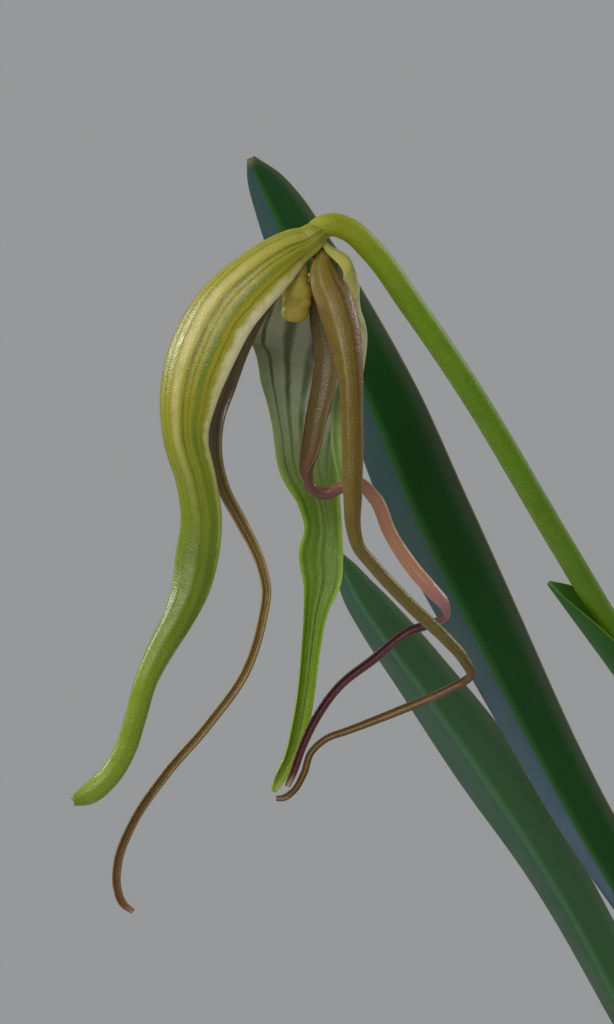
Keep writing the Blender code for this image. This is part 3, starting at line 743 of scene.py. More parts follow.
def leaf_material(name):
    """Skin of a strap leaf, with fine veins along it.

    The sides of its fold may differ in tone, which on the near left leaf is partly painted light and shade.
    The low side (u = 0) takes a painted bluish reflection below the leaf's middle, and a painted highlight
    lies in a soft band just inside the margin at u = 1.
    """
    face, low_side, high_side, keel, margin, shine, *extra = LEAF_LOOKS[name]
    # The last two looks are painted light: a bluish reflection on the low side and a highlight inside one
    # margin.
    painted_reflection, painted_edge_highlight = extra or (None, None)
    g = Graph(name)
    u, t = g.ribbon()
    spot = g.spot()
    wide_noise = g.noise(spot, 28, 3)
    low = linear(low_side)
    # Painted bluish reflection on the low side, below the leaf's middle.
    if painted_reflection:
        low = g.mix(g.between(t, 0.7, 0.5), low, linear(painted_reflection))
    colour = g.mix(g.between(u, 0.46, 0.54), low, linear(high_side))
    # Painted highlight in a soft band just inside the margin at u = 1.
    if painted_edge_highlight:
        colour = g.mix(g.between(u, 0.82, 0.99, 0.0, 0.75), colour, linear(painted_edge_highlight))
    colour = g.mix(g.between(t, 0.4, 0.1, 0.0, 0.8), colour, linear(face))
    fibre_place = g.math("ADD", g.math("MULTIPLY", u, 34.0), g.math("MULTIPLY", wide_noise, 0.8))
    fibre = g.away(g.math("FRACT", fibre_place), 0.5)
    fine = g.away(g.math("FRACT", g.math("MULTIPLY", u, 11.0)), 0.5)
    darker = g.mix(1.0, colour, (0.62, 0.7, 0.62, 1.0), "MULTIPLY")
    colour = g.mix(g.between(fibre, 0.12, 0.02, 0.0, 0.16), colour, darker)
    colour = g.mix(g.between(wide_noise, 0.35, 0.7, 0.0, 0.3), colour, darker)
    colour = g.tint(colour, (1.5, 1.45, 1.3), g.between(g.noise(spot, 900, 3, 0.6), 0.5, 0.8, 0.0, 0.14))
    middle = g.away(u, 0.5)
    colour = g.mix(g.between(middle, 0.075, 0.008, 0.0, 0.9), colour, linear(keel))
    edge = g.math("SUBTRACT", 0.5, middle)
    wavering = g.math("ADD", edge, g.stray(spot, 200, 3, 0.012))
    colour = g.mix(g.between(wavering, 0.02, 0.004, 0.0, 0.75), colour, linear(margin))
    tip = g.math("MULTIPLY", g.between(t, 0.992, 1.0), g.between(g.noise(spot, 500, 2), 0.35, 0.55))
    colour = g.mix(tip, colour, linear((92, 78, 46)))
    height = g.math("ADD", fibre, g.math("MULTIPLY", fine, 0.7))
    normal = g.bump(height, 0.00008, 0.5)
    normal = g.bump(g.noise(spot, 1300, 3), 0.00006, 0.5, normal)
    rough = g.between(g.noise(spot, 90, 4), 0.3, 0.7, shine - 0.05, shine + 0.1)
    return g.finish(
        colour, rough, normal, soft=0.06, soft_radius=0.0008, coat=0.03, coat_rough=0.4, gloss=0.16
    )


def stem_material():
    """Green stem that turns yellow at the flower's neck, under a fine pale waxy dusting."""
    g = Graph("stem_skin")
    _, t = g.ribbon()
    spot = g.spot()
    stops = {0.0: (58, 78, 28), 0.1: (58, 86, 12), 0.5: (70, 100, 2), 0.8: (86, 120, 4), 0.9: (98, 130, 8)}
    stops |= {0.94: (116, 136, 14), 0.97: (132, 140, 20), 1.0: (142, 142, 26)}
    colour = g.ramp(t, [(at, linear(c)) for at, c in stops.items()])
    colour = g.tint(colour, (0.6, 0.66, 0.5), g.between(g.noise(spot, 160, 4, 0.6), 0.4, 0.75, 0.0, 0.35))
    colour = g.tint(colour, (1.4, 1.35, 1.3), g.between(g.noise(spot, 1400, 2), 0.5, 0.72, 0.0, 0.35))
    normal = g.bump(g.noise(spot, 900, 3), 0.0001, 0.5)
    normal = g.bump(g.between(g.cells(spot, 2600), 0.0, 0.8), 0.00006, 0.5, normal)
    return g.finish(colour, 0.5, normal, soft=0.2, soft_radius=0.0015, coat=0.04, gloss=0.25)


def plain_material(name, colour, other, roughness, scale, soft=0.0, coat=0.0, depth=0.0001):
    """A mottled surface of two colours with a fine rough grain."""
    g = Graph(name)
    spot = g.spot()
    mixed = g.mix(g.between(g.noise(spot, scale, 4, 0.6), 0.35, 0.7), linear(colour), linear(other))
    normal = g.bump(g.noise(spot, scale * 5, 4, 0.6), depth, 0.6)
    return g.finish(mixed, roughness, normal, soft=soft, coat=coat)


def pot_material():
    """Matt clay-coloured pot with worn specks and pale lime at its foot and rim."""
    g = Graph("pot_shell")
    spot = g.spot()
    clay, pale_clay = linear((168, 94, 62)), linear((182, 108, 74))
    colour = g.mix(g.between(g.noise(spot, 14, 5, 0.6), 0.3, 0.7), clay, pale_clay)
    height = g.add("ShaderNodeSeparateXYZ", {0: spot}).outputs[2]
    cloud = g.noise(spot, 60, 5, 0.65)
    foot = g.math("MULTIPLY", g.between(height, 0.03, 0.0), g.between(cloud, 0.45, 0.7, 0.0, 0.5))
    lime = g.math("MULTIPLY", g.between(height, 0.108, 0.115), g.between(cloud, 0.4, 0.62, 0.0, 0.55))
    colour = g.mix(g.math("MAXIMUM", foot, lime), colour, linear((206, 176, 152)))
    colour = g.mix(g.between(g.noise(spot, 900, 2), 0.62, 0.78, 0.0, 0.4), colour, linear((118, 62, 42)))
    normal = g.bump(g.noise(spot, 1100, 3), 0.00008, 0.5)
    rough = g.between(cloud, 0.3, 0.7, 0.55, 0.72)
    return g.finish(colour, rough, normal)


def bark_material():
    """Coarse fir bark: each chip has its own brown, with pale fibres."""
    g = Graph("bark_chip")
    spot = g.spot()
    tone = g.add("ShaderNodeNewGeometry").outputs["Random Per Island"]
    stops = {
        0.0: (58, 36, 24), 0.3: (92, 56, 34), 0.55: (122, 78, 48), 0.8: (78, 50, 34), 1.0: (142, 98, 62),
    }
    colour = g.ramp(tone, [(at, linear(c)) for at, c in stops.items()])
    stretched = g.add("ShaderNodeMapping", {"Vector": spot, "Scale": (260.0, 260.0, 900.0)}).outputs[0]
    streak = g.noise(stretched, 1.0, 4, 0.65)
    colour = g.tint(colour, (0.4, 0.36, 0.33), g.between(streak, 0.38, 0.66, 0.0, 0.85))
    pale = g.between(g.noise(spot, 420, 4, 0.6), 0.6, 0.72, 0.0, 0.6)
    colour = g.mix(pale, colour, linear((176, 140, 100)))
    normal = g.bump(streak, 0.0009, 0.7)
    normal = g.bump(g.noise(spot, 1500, 3), 0.0002, 0.6, normal)
    return g.finish(colour, 0.88, normal)


# Flower


def sepal_relief(t, u):
    """Upper sepal: long ridges between its veins, and a rolled right margin."""
    fade = 1 - bump(t, 1.0, 0.25)
    ridges = 0.07 * np.cos(u * math.pi * 4.5) * fade
    roll = -0.7 * np.clip((-u - 0.72) / 0.28, 0, 1) ** 2 * bump(t, 0.22, 0.2)
    sway = 0.35 * np.sin(t * 46 + 1) * np.abs(u) ** 4 * bump(t, 0.62, 0.2)
    return ridges, ridges * -0.4, roll + sway


def synsepal_relief(t, u):
    """Lower sepal: margins that wave in and out, and stripes that stand up a little."""
    strength = 1.3 * math.exp(-(((t - 0.47) / 0.20) ** 2))
    right = math.sin(2 * math.pi * (t * 5.2 + 0.10))
    left = math.sin(2 * math.pi * (t * 4.4 + 0.55))
    wave = strength * np.where(u > 0, right, left) * np.abs(u) ** 2.5
    ridges = 0.08 * np.cos(u * math.pi * 5) * (1 - bump(t, 1.0, 0.3))
    return ridges * -0.5, ridges, wave


def petal_relief(t, u):
    """A petal's midrib on its outer face, and small waves along its margins."""
    wave = 0.12 * np.sin(t * 150) * np.abs(u) ** 3 * bump(t, 0.25, 0.25)
    return 0.10 * bump(u, 0.0, 0.28) - 0.05 * bump(u, 0.45, 0.2), 0 * u, wave


def tail_relief(t, u):
    """The lip's and the far petal's long grooves."""
    grooves = -0.07 * (bump(u, 0.3, 0.12) + bump(u, -0.3, 0.12))
    return grooves, grooves * 0.5, 0 * u


# The stretch of the lower sepal's right margin that rolls over towards the front
FOLD = [
    (6.6, 8.4, -31.5, 1.6, 130, -20),
    (5.9, 7.6, -35.0, 3.8, 160, -20),
    (5.6, 7.0, -40.0, 4.8, 170, -20),
    (5.8, 6.8, -46.0, 4.6, 170, -15),
    (6.4, 7.4, -51.0, 3.4, 150, -8),
    (7.0, 8.8, -55.0, 1.4, 120, 0),
]

# Rows that carry a blade's base on into the stem's end
ROOTS = {
    "dorsal_sepal": [(2.7, -1.5, 1.7, 4.4, 120, -6), (0.8, -2.75, 0.7, 6.3, 114, -9)],
    "synsepal": [(1.2, 0.3, 0.2, 2.8, 200, 118)],
}


def make_flower():
    blades = {
        "dorsal_sepal": (DORSAL_SEPAL, 260, 44, sepal_relief),
        "synsepal": (SYNSEPAL, 280, 44, synsepal_relief),
        "petal_near": (PETAL_NEAR, 360, 24, petal_relief),
        "petal_far": (PETAL_FAR, 300, 24, tail_relief),
        "lip": (LIP, 380, 24, tail_relief),
    }
    made = {}
    for node, (rows, steps, span, relief) in blades.items():
        root = ROOTS.get(node, [])
        surface = ribbon_surface(root + rows, steps, span, PETAL_THICKNESS, arc_section, relief, NECK)
        looks = PETAL_LOOKS[node]
        finishes = [
            petal_material(f"{node}_{side}", root + rows, first=len(root), **looks[side])
            for side in ("outer", "inner")
        ]
        place(ribbon(f"{node}_skin", surface, finishes), node)
        made[node] = surface
    surface = ribbon_surface(FOLD, 60, 14, PETAL_THICKNESS, arc_section, origin=NECK)
    fold = petal_material("synsepal_fold", FOLD, FOLD_COLOURS, lines=[FOLD_LINE], shine=0.5, coat=0.1)
    place(ribbon("synsepal_fold", surface, [fold, fold]), "synsepal")
    return made


# Screen colours along each blade, by row of its table
DORSAL_OUTER = {
    0: (134, 132, 18), 2: (144, 140, 14), 4: (146, 140, 12), 6: (138, 136, 10), 8: (116, 128, 8),
    10: (96, 116, 6), 12: (100, 120, 6), 14: (114, 134, 8), 16: (114, 134, 8), 18: (120, 138, 18),
    19: (104, 124, 20),
}
DORSAL_CREAM = {
    0: (160, 156, 60), 1: (192, 186, 118), 2: (206, 200, 148), 4: (212, 206, 166), 7: (196, 196, 138),
    9: (150, 166, 80), 12: (122, 148, 40),
}
DORSAL_LEFT = {0: (140, 136, 40), 5: (122, 122, 24), 9: (106, 124, 26), 12: (116, 142, 34)}
SYNSEPAL_INNER = {
    0: (160, 158, 90), 2: (190, 190, 150), 4: (188, 192, 170), 6: (166, 176, 146), 8: (112, 132, 66),
    9: (94, 122, 30), 11: (88, 118, 18), 13: (98, 130, 24), 15: (116, 146, 26), 17: (124, 150, 36),
    19: (136, 152, 62),
}
SYNSEPAL_OUTER = {
    0: (168, 166, 76), 2: (196, 188, 112), 4: (196, 192, 134), 6: (172, 180, 112), 8: (132, 158, 74),
    10: (116, 148, 46), 13: (116, 148, 36), 19: (134, 154, 58),
}
SYNSEPAL_EDGE = {
    0: (170, 170, 96), 4: (150, 162, 126), 7: (132, 152, 104), 9: (124, 158, 56), 12: (118, 156, 48),
    19: (134, 160, 60),
}
NEAR_OUTER = {
    0: (116, 108, 30), 2: (112, 98, 20), 4: (106, 90, 14), 6: (100, 84, 12), 9: (98, 80, 8),
    11: (92, 80, 16), 13: (86, 78, 16), 15: (78, 70, 16), 16: (92, 62, 40), 18: (98, 60, 46),
    20: (94, 76, 32), 26: (90, 70, 34),
}
NEAR_INNER = {
    0: (126, 118, 48), 8: (104, 84, 34), 15: (94, 80, 32), 17: (110, 70, 56), 19: (128, 102, 50),
    23: (122, 96, 46), 26: (112, 84, 44),
}
NEAR_RIGHT = {
    0: (126, 110, 42), 2: (72, 42, 26), 3: (68, 36, 28), 4: (92, 54, 46), 6: (128, 92, 78),
    9: (150, 118, 84), 11: (120, 100, 52), 13: (82, 64, 26), 26: (68, 44, 24),
}
NEAR_LEFT = {
    0: (150, 130, 66), 2: (150, 122, 58), 4: (112, 78, 32), 9: (108, 80, 20), 14: (84, 64, 24),
    26: (70, 44, 26),
}
LIP_INNER = {
    0: (120, 108, 50), 2: (98, 84, 42), 5: (90, 78, 38), 7: (92, 74, 36), 9: (94, 68, 38), 10: (98, 60, 50),
    13: (140, 84, 70), 18: (118, 60, 70), 20: (84, 38, 46), 24: (78, 34, 40), 26: (96, 46, 44),
    27: (176, 150, 120),
}
LIP_OUTER = {
    0: (120, 110, 56), 3: (90, 76, 38), 7: (92, 72, 40), 9: (92, 64, 42), 11: (98, 56, 54),
    12: (116, 72, 58), 14: (154, 108, 82), 16: (158, 112, 84), 18: (146, 98, 102), 19: (138, 86, 104),
    20: (96, 44, 54), 24: (80, 36, 42), 27: (112, 72, 58),
}
LIP_MAROON = {
    0: (112, 80, 40), 3: (70, 34, 28), 8: (76, 42, 30), 10: (86, 42, 40), 12: (104, 56, 54),
    14: (140, 94, 74), 20: (56, 22, 28), 27: (70, 30, 30),
}
FAR_OUTER = {
    0: (126, 120, 50), 3: (104, 90, 60), 7: (120, 100, 54), 12: (108, 86, 40), 17: (100, 78, 40),
    19: (120, 90, 56), 20: (168, 130, 106),
}
FAR_INNER = {
    0: (124, 112, 64), 3: (118, 102, 86), 6: (116, 98, 76), 8: (124, 104, 60), 11: (116, 94, 42),
    16: (104, 82, 38), 19: (106, 80, 46), 20: (160, 122, 98),
}
FAR_EDGE = {0: (110, 96, 60), 6: (112, 96, 76), 9: (150, 128, 84), 14: (136, 112, 68), 20: (110, 78, 52)}
FOLD_COLOURS = {0: (146, 156, 86), 1: (158, 176, 112), 3: (150, 172, 96), 5: (112, 148, 46)}
OLIVE = (94, 92, 6)
GREEN = (90, 112, 4)
STRIPE = (56, 78, 14)
GROOVE = (62, 46, 16)

# Veins, stripes and painted highlight ridges: place across, half width, colour, strength by row
DORSAL_LINES = [
    # A pale ridge on the left third: partly its real cream tone, partly a painted highlight.
    (0.60, 0.10, (204, 192, 140), {0: 0.0, 2: 0.2, 4: 0.6, 6: 0.6, 7: 0.35, 8: 0.15, 10: 0.0}),
    (0.80, 0.035, OLIVE, {0: 0.6, 8: 0.5, 12: 0.1}),
    (0.47, 0.035, OLIVE, {0: 0.9, 5: 0.9, 9: 0.6, 13: 0.1}),
    (0.39, 0.022, OLIVE, {0: 0.8, 6: 0.5, 10: 0.0}),
    (0.29, 0.07, GREEN, {0: 0.6, 4: 0.75, 8: 0.95, 11: 0.7, 15: 0.1}),
    (0.18, 0.02, OLIVE, {0: 0.7, 5: 0.6, 9: 0.1}),
    (0.70, 0.02, OLIVE, {0: 0.7, 3: 0.6, 6: 0.0}),
]
STRIPE_PLACES = {0.13: 0.02, 0.26: 0.035, 0.385: 0.04, 0.5: 0.045, 0.63: 0.04, 0.76: 0.03}
STRIPE_FADE = {0: 0.5, 2: 0.75, 6: 0.8, 8: 0.6, 10: 0.2, 12: 0.05}
SYNSEPAL_LINES = [(across, half_width, STRIPE, STRIPE_FADE) for across, half_width in STRIPE_PLACES.items()]
FOLD_LINE = (0.62, 0.1, (96, 120, 50), {0: 0.3, 3: 0.7, 5: 0.4})
TAIL_LINE = (0.52, 0.07, (58, 88, 10), {10: 0.0, 12: 0.5, 14: 0.9, 17: 0.5, 19: 0.2})
NEAR_LINES = [
    # A painted highlight along a ridge on the petal's left part.
    (0.62, 0.06, (190, 156, 112), {1: 0.0, 3: 0.25, 5: 0.3, 7: 0.2, 8: 0.1, 10: 0.0}),
    (0.29, 0.09, (84, 44, 26), {1: 0.3, 3: 0.8, 5: 0.75, 7: 0.4, 9: 0.0}),
    (0.46, 0.05, (112, 84, 16), {5: 0.0, 8: 0.4, 16: 0.5, 26: 0.4}),
]
LIP_LINES = [(0.3, 0.04, (84, 68, 34), {0: 0.4, 7: 0.5, 10: 0.0, 27: 0.3})]
FAR_LINES = [
    (0.5, 0.07, GROOVE, {0: 0.3, 6: 0.5, 9: 0.9, 20: 0.6}),
    (0.27, 0.04, GROOVE, {0: 0.2, 9: 0.5, 20: 0.3}),
]

PETAL_LOOKS = {
    "dorsal_sepal": {
        "outer": dict(
            colours=DORSAL_OUTER,
            low_side=DORSAL_CREAM,
            high_side=DORSAL_LEFT,
            lines=DORSAL_LINES,
            shine=0.4,
            coat=0.3,
            grain=1.2,
            sides_reach=(0.05, 0.15),
        ),
        "inner": dict(colours=SYNSEPAL_OUTER, lines=SYNSEPAL_LINES),
    },
    "synsepal": {
        "inner": dict(
            colours=SYNSEPAL_INNER,
            low_side=SYNSEPAL_EDGE,
            high_side=SYNSEPAL_EDGE,
            lines=SYNSEPAL_LINES + [TAIL_LINE],
            shine=0.5,
            coat=0.1,
            sides_reach=(0.01, 0.12),
        ),
        "outer": dict(colours=SYNSEPAL_OUTER, lines=[TAIL_LINE], shine=0.36, coat=0.4, grain=1.3),
    },
    "petal_near": {
        "outer": dict(
            colours=NEAR_OUTER,
            low_side=NEAR_RIGHT,
            high_side=NEAR_LEFT,
            lines=NEAR_LINES,
            mottle=0.3,
            shine=0.42,
            coat=0.2,
            grain=1.6,
            sides_reach=(0.05, 0.24),
        ),
        "inner": dict(colours=NEAR_INNER, low_side=NEAR_LEFT, high_side=NEAR_LEFT, mottle=0.3),
    },
    "petal_far": {
        "outer": dict(colours=FAR_OUTER, low_side=FAR_EDGE, high_side=FAR_EDGE, lines=FAR_LINES, mottle=0.3),
        "inner": dict(colours=FAR_INNER, low_side=FAR_EDGE, high_side=FAR_EDGE, lines=FAR_LINES, mottle=0.3),
    },
    "lip": {
        "outer": dict(
            colours=LIP_OUTER, low_side=LIP_MAROON, high_side=LIP_MAROON,
            mottle=0.22, sides_reach=(0.02, 0.12),
        ),
        "inner": dict(colours=LIP_INNER, low_side=LIP_MAROON, lines=LIP_LINES, sides_reach=(0.02, 0.09)),
    },
}


def margin_hairs(name, surface, high, start, end, count, length, thickness, seed, finish):
    """Short stiff hairs that stand out of one margin of a blade between two shares of its length."""
    draw = np.random.default_rng(seed)
    at = start + (end - start) * (np.arange(count) + draw.uniform(0, 1, count)) / count
    index = np.interp(at, surface["t"], np.arange(len(surface["t"])))
    k = index.astype(int)
    column = -1 if high else 0
    roots = (surface["outer"][k, column] + surface["inner"][k, column]) / 2
    out = surface["margins"][k, 1 if high else 0]
    face = surface["margins"][k, 3 if high else 2]
    ways = out + face * draw.uniform(-0.2, 0.7, (count, 1))
    ways = ways + surface["heading"][k] * draw.uniform(-0.1, 0.6, (count, 1))
    return hairs(name, roots, ways, length * draw.uniform(0.5, 1.15, count), thickness, finish)


def make_petal_hairs(surfaces):
    dark = plain_material("petal_hair", (58, 34, 24), (92, 50, 44), 0.5, 300)
    red = plain_material("lip_hair", (74, 20, 24), (104, 34, 38), 0.5, 300)
    for name, node, *settings in (
        ("petal_near_hairs", "petal_near", False, 0.02, 0.42, 170, 0.75, 0.09, 21, dark),
        ("petal_near_left_hairs", "petal_near", True, 0.02, 0.3, 80, 0.5, 0.08, 22, dark),
        ("lip_hairs", "lip", False, 0.03, 0.28, 120, 0.7, 0.09, 23, red),
    ):
        place(margin_hairs(name, surfaces[node], *settings), None)


def make_column():
    """Two soft yellow lobes over the flower's mouth, on a short stalk, with dark red hairs beside them."""
    body = bmesh.new()
    stalk = [(-1.3, 0, -0.6, 0.6), (-2.2, -0.5, -4, 1), (-2.8, -0.9, -8, 1.7), (-3.1, -1, -11, 2.2)]
    parts = [((x, y, z), (r, r, 1.5 * r)) for x, y, z, r in smooth_rows(stalk, 14)]
    parts += COLUMN_LOBES
    parts += [((-1.9, -1.5, -14.6), (1.6, 1.2, 1.8)), ((-5.4, -1.6, -14.8), (1.4, 1.1, 1.8))]
    for centre, radii in parts:
        ball = bmesh.ops.create_uvsphere(body, u_segments=32, v_segments=20, radius=1.0)
        for v in ball["verts"]:
            v.co = Vector((NECK + np.array(centre) + np.array(v.co) * np.array(radii)) * MM)
    skin = plain_material("column_skin", (160, 146, 42), (136, 120, 28), 0.55, 260, soft=0.5, coat=0.05)
    column = object_from("column_lobes", body, skin)
    remesh = column.modifiers.new("join", "REMESH")
    remesh.mode, remesh.voxel_size = "VOXEL", 0.00022
    smooth = column.modifiers.new("soften", "SMOOTH")
    smooth.iterations, smooth.factor = 14, 0.6
    bake_modifiers(column)
    column.data.shade_smooth()
    place(column, "column")
    draw = np.random.default_rng(31)
    roots = NECK + np.array((-0.9, -1.6, -11.6)) + draw.uniform(-1, 1, (46, 3)) * (0.5, 0.8, 2.8)
    ways = np.array((0.9, -0.4, -0.1)) + draw.uniform(-0.5, 0.5, (46, 3))
    red = plain_material("column_hair", (96, 24, 22), (66, 18, 18), 0.5, 300)
    place(hairs("column_hairs", roots, ways, draw.uniform(0.8, 1.7, 46), 0.1, red), None)


# Stem, bracts and leaves


def stem_relief(t, around):
    """The ovary behind the flower has three shallow grooves, and the stalk swells a little at its joints."""
    ovary = min(1.0, max(0.0, (t - 0.62) / 0.1))
    groove = 1 - 0.018 * ovary * (1 + np.cos(3 * around + 0.6)) / 2
    swell = 1 + 0.035 * bump(t, 0.355, 0.01) + 0.03 * bump(t, 0.62, 0.012)
    return groove * swell


def make_stem():
    into_flower = [(-124.9, -70.0, 396.7, 2.3), (-125.4, -69.8, 395.1, 1.9), (-125.6, -69.6, 393.8, 0.9)]
    rings, along = tube_surface(STEM_ROWS + into_flower, 540, 40, stem_relief)
    place(tube("flower_stem_skin", rings, along, stem_material()), "flower_stem")
    draw = np.random.default_rng(41)
    count = 2600
    i = np.interp(draw.uniform(0.3, 0.985, count), along, np.arange(len(along))).astype(int)
    j = draw.integers(0, rings.shape[1], count)
    roots = rings[i, j]
    out = unit(roots - rings[i].mean(axis=1))
    ways = out + draw.uniform(-0.35, 0.35, (count, 3))
    fuzz = plain_material("stem_fuzz", (150, 160, 90), (120, 130, 70), 0.6, 300)
    place(hairs("stem_fuzz", roots, ways, draw.uniform(0.16, 0.34, count), 0.035, fuzz), None)


def bract_rows(foot_height, length, opens_to, stand_off):
    """Rows of a bract that clasps the stem at its foot and stands off at its tip."""
    stem = smooth_rows(STEM_ROWS, 400, 0.0)
    heading, front, left = frames(stem[:, :3])
    foot = int(np.argmin(np.abs(stem[:300, 2] - foot_height)))
    reached = travelled(stem[:, :3])
    hold = STEM_RADIUS + 0.15 + BRACT_THICKNESS / 2 + 0.2
    rows = []
    for t in (0.0, 0.2, 0.4, 0.6, 0.78, 0.9, 1.0):
        i = int(np.searchsorted(reached, reached[foot] + t * length))
        out = unit(np.array(opens_to) - (heading[i] @ np.array(opens_to)) * heading[i])
        distance = hold + (stand_off - hold) * t**1.2
        turn = math.degrees(math.atan2(out @ left[i], out @ front[i]))
        curl = 290 - 150 * t
        wide = 2 * distance * math.sin(math.radians(min(curl, 180) / 2)) + BRACT_THICKNESS
        wide *= 1 - max(0.0, (t - 0.55) / 0.45) ** 1.6 * 0.86
        rows.append((*(stem[i, :3] + out * distance), wide, curl, turn))
    return rows


def make_bracts():
    finishes = [leaf_material("bract_outer"), leaf_material("bract_inner")]
    for name, foot_height, length, opens_to, stand_off in BRACTS:
        rows = bract_rows(foot_height, length, opens_to, stand_off)
        surface = ribbon_surface(rows, 90, 32, BRACT_THICKNESS, arc_section)
        place(ribbon(f"{name}_skin", surface, finishes), name)


def leaf_relief(t, u):
    """The raised keel under a leaf, its shallow channel above, and a slow ripple of its margins."""
    keel = 0.35 * bump(u, 0.0, 0.05) * (1 - 0.6 * t)
    ripple = 0.5 * np.sin(t * 21 + 2 * np.sign(u)) * np.abs(u) ** 3 * bump(t, 0.6, 0.3)
    return keel, -0.18 * bump(u, 0.0, 0.06), ripple


def arching_rows(side, apex, length, folded, lean, drift, widest, tip_turn):
    """Rows of a strap leaf that rises from the crown and arches over to its side."""
    count = 12
    step = length / count
    foot_width = min(7.2, 0.46 * widest)
    x, y, z = side * apex, 0.0, FOOT
    rows = []
    for k in range(count + 1):
        t = k / count
        opened = min(1.0, max(0.0, (t - folded / length) / 0.42))
        opened = opened * opened * (3 - 2 * opened)
        fold = 65 - 40 * opened
        narrowing = max(0.0, (t - 0.72) / 0.28) ** 2.2
        across = (foot_width + (widest - foot_width) * opened) * (1 - 0.9 * narrowing)
        rows.append((x, y, z, across, fold, -side * 90 + (tip_turn + side * 90) * opened))
        angle = math.radians(lean * max(0.0, t - 0.03) ** 0.9)
        x += side * step * math.sin(angle)
        z += step * math.cos(angle)
        y += step * drift * opened
    return rows


def make_leaves():
    under = {"leaf_near_left": leaf_material("leaf_under"), "leaf_far_left": leaf_material("leaf_under_pale")}
    plain, over = leaf_material("leaf_under_plain"), leaf_material("leaf_over")
    leaves = [("leaf_near_left", LEAF_NEAR_LEFT), ("leaf_far_left", LEAF_FAR_LEFT)]
    leaves += [(name, arching_rows(*shape)) for name, *shape in ARCHING_LEAVES]
    for name, rows in leaves:
        surface = ribbon_surface(rows, 200, 36, LEAF_THICKNESS, vee_section, leaf_relief, edge=3)
        place(ribbon(f"{name}_skin", surface, [under.get(name, plain), over]), name)


# Pot and bark


def pot_inner_radius(height):
    """Radius of the pot's inside at a height."""
    share = height / POT_HEIGHT
    return POT_BASE_RADIUS + (POT_TOP_RADIUS - POT_BASE_RADIUS) * share - POT_WALL


def arc(centre_radius, centre_height, radius, start, end, count=6):
    """Points on a rounded corner of a turned outline, between two angles in degrees."""
    angles = np.radians(np.linspace(start, end, count))
    return [(centre_radius + radius * math.cos(a), centre_height + radius * math.sin(a)) for a in angles]


def make_pot():
    rim_foot = POT_HEIGHT - POT_RIM_HEIGHT
    wall = POT_BASE_RADIUS + (POT_TOP_RADIUS - POT_BASE_RADIUS) * rim_foot / POT_HEIGHT
    inside = pot_inner_radius(POT_HEIGHT)
    profile = [(0.0, 1.2), (DRAIN_RING + 10, 1.2), (DRAIN_RING + 11.5, 0.0)]
    profile += arc(POT_BASE_RADIUS - 1.5, 1.5, 1.5, -90, -8)
    profile += [(wall - 0.05, rim_foot - 0.4), (wall + 0.4, rim_foot)]
    profile += arc(POT_RIM_RADIUS - 1.3, rim_foot + 1.3, 1.3, -90, 0)
    profile += [(POT_RIM_RADIUS - 0.35, POT_HEIGHT - 4.4), (POT_RIM_RADIUS, POT_HEIGHT - 3.6)]
    profile += arc(POT_RIM_RADIUS - 1.8, POT_HEIGHT - 1.8, 1.8, 0, 90)
    profile += arc(inside + 1.2, POT_HEIGHT - 1.2, 1.2, 90, 180)
    profile += [(pot_inner_radius(60), 60), (pot_inner_radius(POT_FLOOR) - 1, POT_FLOOR + 0.4)]
    profile += [(pot_inner_radius(POT_FLOOR) - 2, POT_FLOOR)]
    profile += [(DRAIN_RING - DRAIN_RADIUS - 3, POT_FLOOR), (0.0, POT_FLOOR)]
    finish = pot_material()
    pot = turned("pot_shell", profile, 160, [finish])
    drill = [(0.0, -2.0), (DRAIN_RADIUS, -2.0), (DRAIN_RADIUS, POT_FLOOR + 2), (0.0, POT_FLOOR + 2)]
    for k in range(DRAIN_COUNT):
        angle = 2 * math.pi * (k + 0.13) / DRAIN_COUNT
        hole = turned(f"drill_{k}", drill, 28, [finish])
        hole.location = (DRAIN_RING * math.cos(angle) * MM, DRAIN_RING * math.sin(angle) * MM, 0)
        cut = pot.modifiers.new("cut", "BOOLEAN")
        cut.operation, cut.object = "DIFFERENCE", hole
        bake_modifiers(pot)
        bpy.data.objects.remove(hole)
    pot.data.set_sharp_from_angle(angle=math.radians(40))
    place(pot, "pot")


